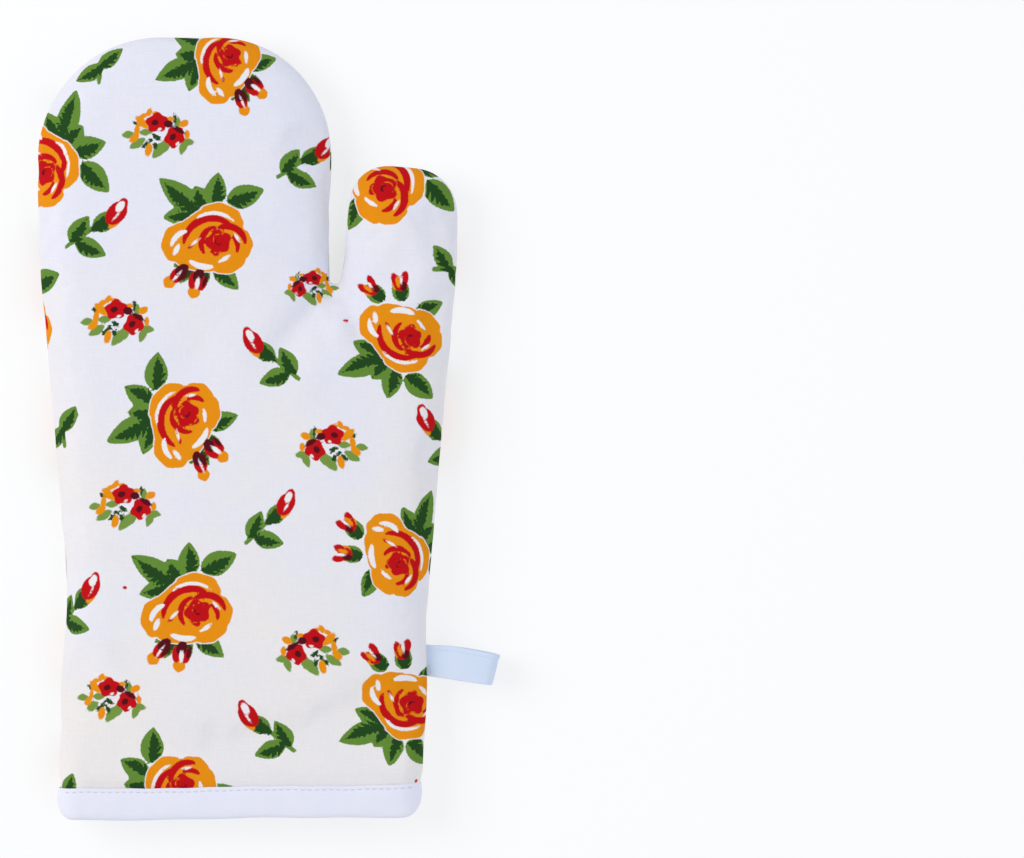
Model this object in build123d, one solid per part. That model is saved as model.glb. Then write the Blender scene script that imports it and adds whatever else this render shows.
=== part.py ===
"""Padded oven mitt, lying flat with its cuff towards -Y, its fingers towards +Y and its thumb towards +X.

Two mitt-shaped halves, front and back, each have a printed cotton panel, a wadding pad and a lining. They are
sewn together round the plan, bound with tape at the cuff and hung by a loop of the same tape. The cloth folds
at the knuckles and at the root of the thumb, and the loop swings about the side seam that holds it.
"""
import os
from functools import cache
from math import cos, radians, sin

from build123d import *

# Plan of the mitt, in millimetres from the middle of the cuff's edge
MITT_LENGTH = 330.0
CUFF_WIDTH = 153.5
WRIST_OUTER_X = -73.0
WRIST_OUTER_Y = 99.0
HAND_OUTER_X = -85.2
HAND_BEND_FROM_TIP = 90.0
HAND_INNER_X = 37.8
CROTCH_Y = 226.5
CROTCH_WIDTH = 4.8
THUMB_LEAN = 5.8
THUMB_OUTER_X = 91.6
THUMB_TOP_Y = 277.4
THUMB_TOP_DROP = 3.8
THUMB_BEND_FROM_TOP = 43.4
WRIST_INNER_X = 78.9
WRIST_INNER_Y = 84.0

# Radii that round the corners of the plan
WRIST_OUTER_RADIUS = 300.0
HAND_BEND_RADIUS = 200.0
TIP_OUTER_RADIUS = 52.6
TIP_INNER_RADIUS = 47.6
CROTCH_RADIUS = 2.2
THUMB_TIP_INNER_RADIUS = 15.5
THUMB_TIP_OUTER_RADIUS = 18.5
THUMB_BEND_RADIUS = 84.0
WRIST_INNER_RADIUS = 210.0
HEM_CORNER_RADIUS = 5.5

# Thicknesses
MITT_THICKNESS = 22.0
EDGE_RADIUS = 10.0
CLOTH = 0.6
WADDING = 4.2
LINING = 0.5
TAPE = 0.7
THREAD = 0.5
EASE = 0.15
SEAM_GAP = 0.6

# Cuff binding and its row of stitches
BINDING_HEIGHT = 13.5
STITCH_LENGTH = 2.2
STITCH_PITCH = 3.0
STITCH_FROM_EDGE = 1.6
STITCH_ROW_WIDTH = 128.0

# Side seam threads, measured in from the edge of the cloth that they close
SEAM_ALLOWANCE = 1.6

# Folds of the cloth
FOLD_RADIUS = 14.0
FOLD_GAP = 0.3
KNUCKLE_RISE = 17.0
THUMB_FOLD_RISE = 15.5
THUMB_FOLD_ANGLE = 35.0

# Hanging loop
LOOP_Y = 67.3
LOOP_STANDOFF = 1.9
LOOP_LENGTH = 28.8
LOOP_WIDTH = 13.2
LOOP_DROOP_ANGLE = 8.0
LOOP_EYE_RADIUS = 3.9
LOOP_ROOT_RADIUS = 0.9
LOOP_ROOT_GAP = 0.3
LOOP_TAIL_LENGTH = 9.0
TACK_COUNT = 4

# Room past the plan for cutting shapes
REACH = 4 * MITT_LENGTH
TAIL = 3 * EDGE_RADIUS

MIDDLE_Z = MITT_THICKNESS / 2
WADDING_INSET = CLOTH + EASE
LINING_INSET = WADDING_INSET + WADDING + EASE
MOUTH_INSET = LINING_INSET + LINING
SLOT_MIDDLE_X = HAND_INNER_X + CROTCH_WIDTH / 2
HEM_INSET = TAPE + EASE


def plan(inset, tail, tail_radius):
    """The mitt's plan as a face, drawn in by inset and reaching tail below the cuff's edge."""
    corners = [
        ((-CUFF_WIDTH / 2, -tail), tail_radius),
        ((WRIST_OUTER_X, WRIST_OUTER_Y), WRIST_OUTER_RADIUS),
        ((HAND_OUTER_X, MITT_LENGTH - HAND_BEND_FROM_TIP), HAND_BEND_RADIUS),
        ((HAND_OUTER_X, MITT_LENGTH), TIP_OUTER_RADIUS),
        ((HAND_INNER_X, MITT_LENGTH), TIP_INNER_RADIUS),
        ((HAND_INNER_X, CROTCH_Y), CROTCH_RADIUS),
        ((HAND_INNER_X + CROTCH_WIDTH, CROTCH_Y), CROTCH_RADIUS),
        ((HAND_INNER_X + CROTCH_WIDTH + THUMB_LEAN, THUMB_TOP_Y), THUMB_TIP_INNER_RADIUS),
        ((THUMB_OUTER_X, THUMB_TOP_Y - THUMB_TOP_DROP), THUMB_TIP_OUTER_RADIUS),
        ((THUMB_OUTER_X, THUMB_TOP_Y - THUMB_BEND_FROM_TOP), THUMB_BEND_RADIUS),
        ((WRIST_INNER_X, WRIST_INNER_Y), WRIST_INNER_RADIUS),
        ((CUFF_WIDTH / 2, -tail), tail_radius),
    ]
    points, rounding = zip(*corners)
    face = make_face(FilletPolyline(*points, radius=rounding, close=True))
    return offset(face, -inset) if inset else face


@cache
def pillow(inset):
    """The mitt's rounded form, drawn in by inset on every side and running on past the cuff."""
    block = Pos(0, 0, inset) * extrude(plan(inset, TAIL, EDGE_RADIUS), MITT_THICKNESS - 2 * inset)
    levels = block.edges().group_by(Axis.Z)
    rounding = min(EDGE_RADIUS, MIDDLE_Z - EASE) - inset
    return fillet(levels[0] + levels[-1], rounding)


def slab(low_y, high_y):
    """All the space between two heights along the mitt."""
    return Pos(0, low_y, MIDDLE_Z) * Box(REACH, high_y - low_y, REACH, align=(Align.CENTER, Align.MIN, Align.CENTER))


def below_hem(inset):
    """The space past the cuff's edge and its rounded corners, when these are drawn in by inset."""
    width = CUFF_WIDTH - 2 * inset
    outline = RectangleRounded(width, REACH, HEM_CORNER_RADIUS - inset, align=(Align.CENTER, Align.MIN))
    plate = Pos(0, inset, -REACH / 2) * extrude(outline, REACH)
    return slab(-TAIL, HEM_CORNER_RADIUS) - plate


def under_binding(inset):
    """How far in a surface lies where the binding presses the layers outside the lining together."""
    if inset >= LINING_INSET:
        return inset
    return HEM_INSET + inset * (1 - HEM_INSET / LINING_INSET)


def form(inset):
    """The mitt's form drawn in by inset, pressed in further along the cuff to make room for the binding."""
    step = BINDING_HEIGHT + inset
    above = pillow(inset) & slab(step, REACH)
    below = pillow(under_binding(inset)) & slab(-TAIL, step)
    return above + below


def half(side):
    """The space that holds the front half, above the seam, or the back half below it."""
    depth = Align.MIN if side == "front" else Align.MAX
    shift = SEAM_GAP / 2 if side == "front" else -SEAM_GAP / 2
    return Pos(0, 0, MIDDLE_Z + shift) * Box(REACH, REACH, REACH, align=(Align.CENTER, Align.CENTER, depth))


KNUCKLE_FOLD = Location((0, CROTCH_Y + KNUCKLE_RISE, MIDDLE_Z))
THUMB_FOLD = Location(
    (
        SLOT_MIDDLE_X + THUMB_FOLD_RISE * sin(radians(THUMB_FOLD_ANGLE)),
        CROTCH_Y + THUMB_FOLD_RISE * cos(radians(THUMB_FOLD_ANGLE)),
        MIDDLE_Z,
    ),
    (0, 0, -THUMB_FOLD_ANGLE),
)


def past_fold(fold, side_of_slot, clearance):
    """The space that turns with a fold: its far side and the roll of cloth about its axis."""
    roll = fold * Cylinder(FOLD_RADIUS + clearance, REACH, rotation=(0, 90, 0))
    far_side = fold * Box(REACH, REACH, REACH, align=(Align.CENTER, Align.MIN, Align.CENTER))
    beside_slot = Pos(SLOT_MIDDLE_X, 0, MIDDLE_Z) * Box(
        REACH, REACH, REACH, align=(side_of_slot, Align.CENTER, Align.CENTER)
    )
    return (roll + far_side) & beside_slot


def loop_place():
    """Where the loop is hinged: just off the side seam, with X out along it and Y along its tape's width."""
    edge = plan(0, TAIL, EDGE_RADIUS) & (Pos(0, LOOP_Y) * Rectangle(REACH, THREAD))
    hinge_x = edge.bounding_box().max.X + LOOP_STANDOFF
    return Location((hinge_x, LOOP_Y, MIDDLE_Z), (0, 0, -LOOP_DROOP_ANGLE))


LOOP = loop_place()


def teardrop(root_x, root_radius, eye_radius):
    """A teardrop in the loop's own X and Z, from its root to the round end of its eye."""
    eye_x = LOOP_LENGTH - LOOP_EYE_RADIUS - TAPE
    circles = Pos(root_x, 0) * Circle(root_radius) + Pos(eye_x, 0) * Circle(eye_radius)
    return Rot(90, 0, 0) * make_hull(circles.edges())


def hanging_loop():
    """The tape doubled back on itself, with its eye open for a hook."""
    outside = teardrop(0, LOOP_ROOT_RADIUS, LOOP_EYE_RADIUS + TAPE)
    inside = teardrop(2 * TAPE + LOOP_ROOT_RADIUS, THREAD / 2, LOOP_EYE_RADIUS)
    return LOOP * extrude(outside - inside, LOOP_WIDTH / 2, both=True)


def loop_tails(clearance):
    """The two ends of the loop's tape, laid together and sewn into the side seam."""
    length = LOOP_TAIL_LENGTH + clearance
    tails = Box(
        length,
        LOOP_WIDTH + 2 * clearance,
        2 * TAPE + 2 * clearance,
        align=(Align.MAX, Align.CENTER, Align.CENTER),
    )
    back_from_hinge = LOOP_ROOT_RADIUS + LOOP_ROOT_GAP
    return LOOP * Pos(clearance - back_from_hinge, 0, 0) * tails


def loop_tack():
    """A bar of stitches across the tails that holds them in the seam."""
    pitch = LOOP_WIDTH / TACK_COUNT
    stitch = Box(THREAD, pitch / 2, 2 * TAPE + 2 * EASE)
    at_x = -(LOOP_ROOT_RADIUS + LOOP_ROOT_GAP + LOOP_TAIL_LENGTH / 2)
    places = [LOOP * Pos(at_x, (i - (TACK_COUNT - 1) / 2) * pitch, 0) for i in range(TACK_COUNT)]
    return [place * stitch for place in places]


def seam_thread(inset):
    """The closing thread between the two halves, following the plan from one end of the cuff to the other."""
    ring = plan(inset, TAIL, EDGE_RADIUS) - plan(inset + THREAD, TAIL, EDGE_RADIUS)
    height = SEAM_GAP - EASE
    thread = Pos(0, 0, MIDDLE_Z - height / 2) * extrude(ring, height)
    return (thread & slab(BINDING_HEIGHT + LINING_INSET, REACH)) - loop_tails(EASE)


def binding():
    """The tape folded over the cuff's raw edges, with the groove that its stitches lie in."""
    hem = slab(-TAIL, BINDING_HEIGHT - EASE)
    mouth = pillow(MOUTH_INSET + EASE + TAPE)
    outside = (pillow(0) - below_hem(0)) - (pillow(TAPE) - below_hem(TAPE)) - mouth
    inside = pillow(MOUTH_INSET + EASE) - below_hem(0) - mouth
    ring = (outside + inside) & hem
    for level in (MITT_THICKNESS, 0):
        ring -= Pos(0, BINDING_HEIGHT - STITCH_FROM_EDGE, level) * Box(
            STITCH_ROW_WIDTH + STITCH_PITCH, THREAD + EASE, 2 * THREAD
        )
    return ring


def binding_stitches(side):
    """One row of stitches along the binding, each lying in the groove."""
    level = MITT_THICKNESS - THREAD / 2 if side == "front" else THREAD / 2
    count = int(STITCH_ROW_WIDTH / STITCH_PITCH)
    start_x = -(count - 1) * STITCH_PITCH / 2
    stitch = Box(STITCH_LENGTH, THREAD, THREAD)
    row_y = BINDING_HEIGHT - STITCH_FROM_EDGE
    return [Pos(start_x + i * STITCH_PITCH, row_y, level) * stitch for i in range(count)]


def zones():
    """The spaces that the three bodies of the mitt take up."""
    everything = slab(-TAIL, REACH)
    return {
        "fingers": past_fold(KNUCKLE_FOLD, Align.MAX, 0),
        "thumb": past_fold(THUMB_FOLD, Align.MIN, 0),
        "hand": everything
        - past_fold(KNUCKLE_FOLD, Align.MAX, FOLD_GAP)
        - past_fold(THUMB_FOLD, Align.MIN, FOLD_GAP),
    }


def layers():
    """Each layer of cloth as its name, its outer inset and its inner inset."""
    return [
        ("panel", 0, CLOTH),
        ("wadding", WADDING_INSET, WADDING_INSET + WADDING),
        ("lining", LINING_INSET, MOUTH_INSET),
    ]


def build():
    """Every node of the mitt by name, in the plan's frame."""
    nodes = {}
    spaces = zones()
    trimmed = below_hem(HEM_INSET)
    notch = loop_tails(EASE) + loop_tack()
    for layer, outer, inner in layers():
        sheet = form(outer) - form(inner) - trimmed - notch
        for side in ("front", "back"):
            for zone, space in spaces.items():
                nodes[f"{side}_{layer}_{zone}"] = sheet & half(side) & space
    threads = {
        "side_seam_thread": seam_thread(SEAM_ALLOWANCE),
        "lining_seam_thread": seam_thread(LINING_INSET),
    }
    for name, thread in threads.items():
        for zone, space in spaces.items():
            nodes[f"{name}_{zone}"] = thread & space
    nodes["cuff_binding"] = binding()
    nodes["binding_stitches_front"] = Compound(binding_stitches("front"))
    nodes["binding_stitches_back"] = Compound(binding_stitches("back"))
    nodes["hanging_loop"] = hanging_loop()
    nodes["loop_tails"] = loop_tails(0) - loop_tack()
    nodes["loop_tack_stitches"] = Compound(loop_tack())
    return nodes


def main():
    """Centres the mitt over the origin, standing on Z = 0, and writes a file for each node."""
    nodes = build()
    box = Compound([shape for shape in nodes.values()]).bounding_box()
    middle = box.center()
    to_origin = Pos(-middle.X, -middle.Y, -box.min.Z)
    os.makedirs("parts", exist_ok=True)
    for name, shape in nodes.items():
        export_step(to_origin * shape, f"parts/{name}.step")
    print("size", box.size, "moved by", -middle.X, -middle.Y, -box.min.Z)


if __name__ == "__main__":
    main()
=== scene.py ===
"""Looks of a padded oven mitt with a rose print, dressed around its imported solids.

The cloth is drawn flat, laid over the rounded form of the mitt, relaxed as cloth and printed with roses,
buds and posies. The cuff's binding and the hanging loop are modelled as folded tape. Plan sizes are in
millimetres from the middle of the cuff's edge, and meshes are in metres in the frame of the solids.
"""
import logging
import math
from collections.abc import Callable
from dataclasses import dataclass, field
from enum import Enum

import bmesh
import bpy
import numpy as np
from mathutils import Matrix, Vector
from mathutils.geometry import delaunay_2d_cdt


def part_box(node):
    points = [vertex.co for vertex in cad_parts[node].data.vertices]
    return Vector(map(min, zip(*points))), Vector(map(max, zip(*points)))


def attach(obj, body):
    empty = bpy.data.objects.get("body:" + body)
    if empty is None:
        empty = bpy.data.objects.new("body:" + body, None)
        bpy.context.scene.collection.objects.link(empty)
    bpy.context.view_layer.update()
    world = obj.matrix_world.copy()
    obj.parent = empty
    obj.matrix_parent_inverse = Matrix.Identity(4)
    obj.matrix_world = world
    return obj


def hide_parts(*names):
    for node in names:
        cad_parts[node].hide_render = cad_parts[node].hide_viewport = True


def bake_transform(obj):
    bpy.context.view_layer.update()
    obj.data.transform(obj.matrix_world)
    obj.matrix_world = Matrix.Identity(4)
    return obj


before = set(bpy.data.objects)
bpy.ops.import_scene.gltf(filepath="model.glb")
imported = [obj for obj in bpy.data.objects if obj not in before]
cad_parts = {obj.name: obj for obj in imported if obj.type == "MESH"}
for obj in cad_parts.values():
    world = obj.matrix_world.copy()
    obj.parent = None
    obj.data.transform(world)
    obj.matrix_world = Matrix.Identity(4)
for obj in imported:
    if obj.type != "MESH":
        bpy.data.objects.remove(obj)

LOG = logging.getLogger("oven_mitt")
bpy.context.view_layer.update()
MM = 0.001
TINY = 1e-12
QUARTER_TURN = math.pi / 2
MITT_LENGTH = 330.0
CUFF_WIDTH = 153.5
HAND_OUTER_X = -85.2
HAND_INNER_X = 37.8
THUMB_INNER_X = 42.6
THUMB_OUTER_X = 91.6
CROTCH_X = 40.2
CROTCH_Y = 226.5
CROTCH_RADIUS = 2.2

Colour = tuple[float, float, float, float]
Waves = tuple[tuple[float, float], tuple[float, float]]


class Side(Enum):
    """The two halves of the mitt, with the way that each one faces."""

    FRONT = 1
    BACK = -1

    @property
    def word(self) -> str:
        """The side's name as the pieces use it."""
        return self.name.lower()


class Region(Enum):
    """The two cuts of each half: one for the hand and fingers, one for the thumb."""

    HAND = "hand"
    THUMB = "thumb"

    @property
    def zones(self) -> tuple[str, ...]:
        """The zones of the solids that the cut covers."""
        return ("hand", "fingers") if self is Region.HAND else ("thumb",)


class Ink(Enum):
    """The printing inks, in the order in which they are laid down."""

    LEAF_LIGHT = 0
    LEAF = 1
    LEAF_DARK = 2
    OUTLINE = 3
    ORANGE = 4
    RED = 5
    MAROON = 6
    WHITE = 7


CHANNELS = 4
INK_LAYERS = {"ink_under": list(Ink)[:CHANNELS], "ink_over": list(Ink)[CHANNELS:]}


def smoothstep(low: float, high: float, value: float | np.ndarray) -> np.ndarray:
    """A soft step from 0 at low to 1 at high.

    Args:
        low: where the step starts.
        high: where it ends.
        value: the numbers to step.

    Returns:
        The step at each number.
    """
    t = np.clip((value - low) / (high - low), 0.0, 1.0)
    return t * t * (3.0 - 2.0 * t)


def linear(red: int, green: int, blue: int) -> Colour:
    """A screen colour, from 0 to 255, as the linear colour that shaders take.

    Args:
        red: the red level.
        green: the green level.
        blue: the blue level.

    Returns:
        The linear colour with full alpha.
    """
    levels = [level / 255 for level in (red, green, blue)]
    bright = [v / 12.92 if v <= 0.04045 else ((v + 0.055) / 1.055) ** 2.4 for v in levels]
    return (*bright, 1.0)


def heading(degrees: float) -> np.ndarray:
    """The direction of an angle in the plan."""
    return np.array([math.cos(math.radians(degrees)), math.sin(math.radians(degrees))])


def unit(vector: np.ndarray) -> np.ndarray:
    """The direction of a vector."""
    return vector / np.linalg.norm(vector)


def right_of(direction: np.ndarray) -> np.ndarray:
    """The direction a quarter turn to the right in the plan."""
    return np.array([direction[1], -direction[0]])


def straight_run(start: np.ndarray, end: np.ndarray, step: float) -> np.ndarray:
    """Points along a straight run, without its start.

    Args:
        start: where the run starts.
        end: where it ends.
        step: the longest distance between points.

    Returns:
        The points.
    """
    count = max(1, math.ceil(np.linalg.norm(end - start) / step))
    return start + (end - start) * np.arange(1, count + 1)[:, None] / count


def line_distance(points: np.ndarray, line: np.ndarray) -> np.ndarray:
    """How far points of the plan lie from an open line.

    Args:
        points: the points.
        line: the line's points, in order.

    Returns:
        The distance of each point.
    """
    start, span = line[:-1], np.diff(line, axis=0)
    to_point = points[:, None, :] - start[None, :, :]
    along = np.clip((to_point * span).sum(2) / np.maximum((span**2).sum(1), TINY), 0.0, 1.0)
    return np.linalg.norm(to_point - along[..., None] * span, axis=2).min(1)


@dataclass(frozen=True)
class Corner:
    """A corner of the plan and the radius that rounds it."""

    x: float
    y: float
    radius: float = 0.0

    @property
    def point(self) -> np.ndarray:
        """The corner as an array."""
        return np.array([self.x, self.y])


@dataclass
class MittPlan:
    """The mitt seen from above, in millimetres from the middle of the cuff's edge."""

    cuff_width: float = CUFF_WIDTH
    thickness: float = 22.0
    edge_radius: float = 10.0
    crotch: Corner = Corner(CROTCH_X, CROTCH_Y)
    knuckle_y: float = 243.5
    thumb_fold_rise: float = 15.5
    thumb_fold_angle: float = 35.0
    fold_reach: float = 14.5
    binding_height: float = 13.5
    binding_overlap: float = 1.5
    binding_tilt: float = 0.0138
    least_arc_pieces: int = 4
    corners: tuple[Corner, ...] = (
        Corner(-CUFF_WIDTH / 2, 0.0),
        Corner(-73.0, 99.0, 300.0),
        Corner(HAND_OUTER_X, 240.0, 200.0),
        Corner(HAND_OUTER_X, MITT_LENGTH, 52.6),
        Corner(HAND_INNER_X, MITT_LENGTH, 47.6),
        Corner(HAND_INNER_X, CROTCH_Y, CROTCH_RADIUS),
        Corner(THUMB_INNER_X, CROTCH_Y, CROTCH_RADIUS),
        Corner(48.4, 277.4, 15.5),
        Corner(THUMB_OUTER_X, 273.6, 18.5),
        Corner(THUMB_OUTER_X, 234.0, 84.0),
        Corner(78.9, 84.0, 210.0),
        Corner(CUFF_WIDTH / 2, 0.0),
    )

    def __post_init__(self) -> None:
        """Finds where the middle of the cuff's edge lies in the frame of the solids, in metres."""
        low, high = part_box("cuff_binding")
        self.origin = Vector(((low.x + high.x) / 2, low.y, 0.0))

    def place(self, x: float, y: float, z: float = 0.0) -> Vector:
        """A point of the plan, given in millimetres, in the frame of the solids, in metres."""
        return self.origin + Vector((x, y, z)) * MM

    def binding_top(self, x: float | np.ndarray) -> float | np.ndarray:
        """How high the binding's upper edge lies across the cuff, where the tape is sewn on askew."""
        return self.binding_height + self.binding_overlap + self.binding_tilt * x

    @property
    def thumb_fold_normal(self) -> np.ndarray:
        """The direction in the plan from the thumb's fold to its tip."""
        return heading(self.thumb_fold_angle)[::-1]

    def outline(self, step: float) -> tuple[np.ndarray, np.ndarray]:
        """The edge of the mitt from one end of the cuff to the other.

        Args:
            step: the longest distance between points.

        Returns:
            The points, and at each one the direction into the mitt.
        """
        points = [self.corners[0].point]
        inward = [right_of(unit(self.corners[1].point - points[0]))]
        for before, corner, after in zip(self.corners, self.corners[1:], self.corners[2:]):
            arrive = unit(corner.point - before.point)
            leave = unit(after.point - corner.point)
            turn = math.atan2(arrive[0] * leave[1] - arrive[1] * leave[0], float(arrive @ leave))
            start = corner.point - arrive * (corner.radius * math.tan(abs(turn) / 2))
            run = straight_run(points[-1], start, step)
            points.extend(run)
            inward.extend([right_of(arrive)] * len(run))
            signed_radius = math.copysign(corner.radius, turn)
            centre = start - right_of(arrive) * signed_radius
            pieces = max(self.least_arc_pieces, math.ceil(corner.radius * abs(turn) / step))
            for i in range(1, pieces + 1):
                c, s = math.cos(turn * i / pieces), math.sin(turn * i / pieces)
                spoke = np.array([[c, -s], [s, c]]) @ (start - centre)
                points.append(centre + spoke)
                inward.append(spoke / signed_radius)
        last, end = points[-1], self.corners[-1].point
        run = straight_run(last, end, step)
        points.extend(run)
        inward.extend([right_of(unit(end - last))] * len(run))
        return np.array(points), np.array(inward)


@dataclass
class ClothForm:
    """A net of points over both halves of the mitt, which every layer of cloth shares."""

    plan: MittPlan
    step: float = 4.2
    edge_rows: int = 6
    shoulder: float = 22.0
    roundness: float = 2.2
    cuff_rise: float = 45.0
    rim_clearance: float = 0.6
    merge_distance: float = 1e-5
    least_depth: float = 0.05

    def __post_init__(self) -> None:
        """Lays out the edge rows, fills the middle and joins the points into faces."""
        self.shares = [row / self.edge_rows for row in range(self.edge_rows + 1)]
        self.edge, self.inward = self.plan.outline(self.step)
        self.ring_size = len(self.edge)
        rim = self.ring_points(1.0)
        cuff_x = np.arange(rim[-1, 0] - self.step, rim[0, 0] + self.step / 2, -self.step)
        border = np.vstack([rim, np.column_stack([cuff_x, np.zeros_like(cuff_x)])])
        coords = [Vector(p) for p in np.vstack([border, self.middle_points(rim)])]
        found = delaunay_2d_cdt(coords, [], [list(range(len(border)))], 1, self.merge_distance)
        self.middle = np.array([list(p) for p in found[0]])[self.ring_size :]
        self.middle_faces = [list(face) for face in found[2]]
        self.net = np.vstack([self.ring_points(share) for share in self.shares] + [self.middle])
        self.from_seam = line_distance(self.net, self.edge)
        self.fullness = self.tapered()

    def ring_points(self, share: float, inset: float = 0.0) -> np.ndarray:
        """One row of points along the rounded edge.

        Args:
            share: how far round the edge the row lies, from the seam at 0 to the flat face at 1.
            inset: how deep below the outer cloth the row lies.

        Returns:
            The row's points in the plan.
        """
        depth = inset + (self.plan.edge_radius - inset) * (1.0 - math.cos(share * QUARTER_TURN))
        row = self.edge + self.inward * depth
        row[[0, -1], 1] = 0.0
        return row

    def middle_points(self, rim: np.ndarray) -> np.ndarray:
        """Points in rows of triangles over the flat middle of the mitt.

        Args:
            rim: the inner row of the edge.

        Returns:
            The points that lie inside it, clear of the rim.
        """
        low, high = rim.min(0), rim.max(0)
        row_height = self.step * math.sqrt(3) / 2
        rows = []
        for i, y in enumerate(np.arange(low[1] + row_height, high[1], row_height)):
            x = np.arange(low[0] + (i % 2) * self.step / 2, high[0], self.step)
            rows.append(np.column_stack([x, np.full_like(x, y)]))
        points = np.vstack(rows)
        start, end = rim, np.roll(rim, -1, axis=0)
        span = end - start
        distance = line_distance(points, np.vstack([rim, rim[:1]]))
        crosses = (start[None, :, 1] > points[:, None, 1]) != (end[None, :, 1] > points[:, None, 1])
        rise = np.where(np.abs(span[:, 1]) < TINY, TINY, span[:, 1])
        cut_x = start[:, 0] + (points[:, None, 1] - start[:, 1]) * span[:, 0] / rise
        inside = (crosses & (points[:, None, 0] < cut_x)).sum(1) % 2 == 1
        return points[inside & (distance > self.step * self.rim_clearance)]

    def tapered(self) -> np.ndarray:
        """How much of its rounded edge's height each point keeps, where the padding thins to the seam.

        Returns:
            A share for each point of the net, 1 at the cuff and in the middle.
        """
        depth = np.maximum(self.from_seam, self.least_depth)
        plain = np.sqrt(1.0 - np.clip(1.0 - depth / self.plan.edge_radius, 0.0, 1.0) ** 2)
        thin = np.clip(1.0 - depth / self.shoulder, 0.0, 1.0) ** self.roundness
        soft = (1.0 - thin) ** (1.0 / self.roundness)
        binding = self.plan.binding_height
        above_cuff = smoothstep(binding, binding + self.cuff_rise, self.net[:, 1])
        return 1.0 + above_cuff * (soft / plain - 1.0)

    def surface(self, side: Side, inset: float) -> np.ndarray:
        """The points of one half at a depth below the outer cloth.

        Args:
            side: the half.
            inset: the depth.

        Returns:
            Points in millimetres, edge rows first and the middle last.
        """
        half = self.plan.thickness / 2
        rows = [self.ring_points(share, inset) for share in self.shares] + [self.middle]
        rises = [(half - inset) * math.sin(share * QUARTER_TURN) for share in self.shares] + [half - inset]
        rise = np.repeat(rises, [len(row) for row in rows])
        return np.column_stack([np.vstack(rows), half + rise * self.fullness * side.value])

    def flat(self, side: Side, seen: float = 0.0, inset: float = 0.0) -> np.ndarray:
        """The cloth of one half before it was laid over the edge.

        Args:
            side: the half. The back is seen from behind, so its cloth runs the other way.
            seen: 0 for the cloth's own length round the edge, 1 for its length as seen from above.
            inset: how deep below the outer cloth it lies.

        Returns:
            Flat points in millimetres.
        """
        rim = self.ring_points(1.0)
        rows = []
        for share in self.shares:
            turned = (1.0 - share) * QUARTER_TURN
            reach = (1.0 - seen) * turned + seen * math.sin(turned)
            rows.append(rim - self.inward * (self.plan.edge_radius - inset) * reach)
        points = np.vstack(rows + [self.middle])
        points[:, 0] *= side.value
        return points

    def faces(self) -> list[list[int]]:
        """Faces of one half, facing up for the front.

        Returns:
            For each face, the numbers of its points.
        """
        n = self.ring_size
        strips = []
        for row in range(self.edge_rows):
            low, high = row * n, (row + 1) * n
            strips += [[low + i, high + i, high + i + 1, low + i + 1] for i in range(n - 1)]
        rim = self.edge_rows * n
        return strips + [[rim + i for i in face] for face in self.middle_faces]

    def thumb_mask(self, points: np.ndarray) -> np.ndarray:
        """Which points of the plan belong to the thumb's cut.

        Args:
            points: points whose first two numbers are in the plan.

        Returns:
            True for each point of the thumb's cut.
        """
        crotch = self.plan.crotch.point
        past = (points[:, :2] - crotch) @ self.plan.thumb_fold_normal
        return (past > -self.step) & (points[:, 0] > crotch[0])


@dataclass(frozen=True)
class Crease:
    """A soft fold pressed into the cloth, from a point of the plan along a direction in degrees."""

    x: float
    y: float
    angle: float
    length: float
    width: float
    depth: float
    run_in: float = 7.0
    widening: float = 0.06
    fades_from: float = 0.35
    ridge: float = 0.45
    ridge_place: float = 2.2
    ridge_width: float = 1.3

    def depth_at(self, points: np.ndarray) -> np.ndarray:
        """How far points sink into the fold, below 0 on the low ridges beside it.

        Args:
            points: points in millimetres.

        Returns:
            The depth in millimetres.
        """
        offset = points[:, :2] - np.array([self.x, self.y])
        along = offset @ heading(self.angle)
        across = np.abs(offset @ right_of(heading(self.angle)))
        spread = self.width + np.maximum(along, 0.0) * self.widening
        rise = smoothstep(0.0, self.run_in, along)
        fade = 1.0 - smoothstep(self.length * self.fades_from, self.length, along)
        trough = np.exp(-((across / spread) ** 2))
        past_trough = (across - self.ridge_place * spread) / (self.ridge_width * spread)
        return self.depth * rise * fade * (trough - self.ridge * np.exp(-(past_trough**2)))


CLOTH_SETTINGS = {
    "quality": 6,
    "mass": 0.2,
    "tension_stiffness": 20.0,
    "compression_stiffness": 20.0,
    "shear_stiffness": 8.0,
    "bending_stiffness": 0.25,
    "use_pressure": True,
    "uniform_pressure_force": 0.35,
    "shrink_min": -0.012,
}
CREASES = (
    Crease(CROTCH_X, CROTCH_Y, -128, 60, 4.6, 2.7),
    Crease(CROTCH_X, CROTCH_Y, -62, 44, 3.4, 1.9),
    Crease(CROTCH_X, CROTCH_Y, -97, 38, 4.0, 1.2),
    Crease(-80, 112, -24, 46, 6.0, 0.9, 14),
    Crease(-46, 92, -20, 62, 6.5, 1.0, 18),
    Crease(-56, 74, -27, 60, 6.0, 1.1, 16),
    Crease(-74, 54, -18, 42, 5.5, 0.8, 12),
    Crease(24, 182, -14, 60, 6.5, 0.9, 18),
    Crease(-8, 212, -118, 46, 8.0, 0.9, 16),
)


@dataclass(frozen=True)
class LeafStyle:
    """How the leaves of the print are drawn, with rates in radians for each millimetre."""

    fullness: float = 0.8
    tip: float = 1.5
    tooth_depth: float = 0.22
    tooth_rate: float = 1.9
    vein_rate: float = 2.3
    vein_slant: float = 2.0
    vein_stagger: float = 1.1
    vein_reach: float = 0.66
    vein_edge: float = 0.12
    vein_tip: float = 2.0
    midrib: float = 0.28
    lower_shade: float = 0.5
    fade_from: float = 0.62
    fade_to: float = 0.95


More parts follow.
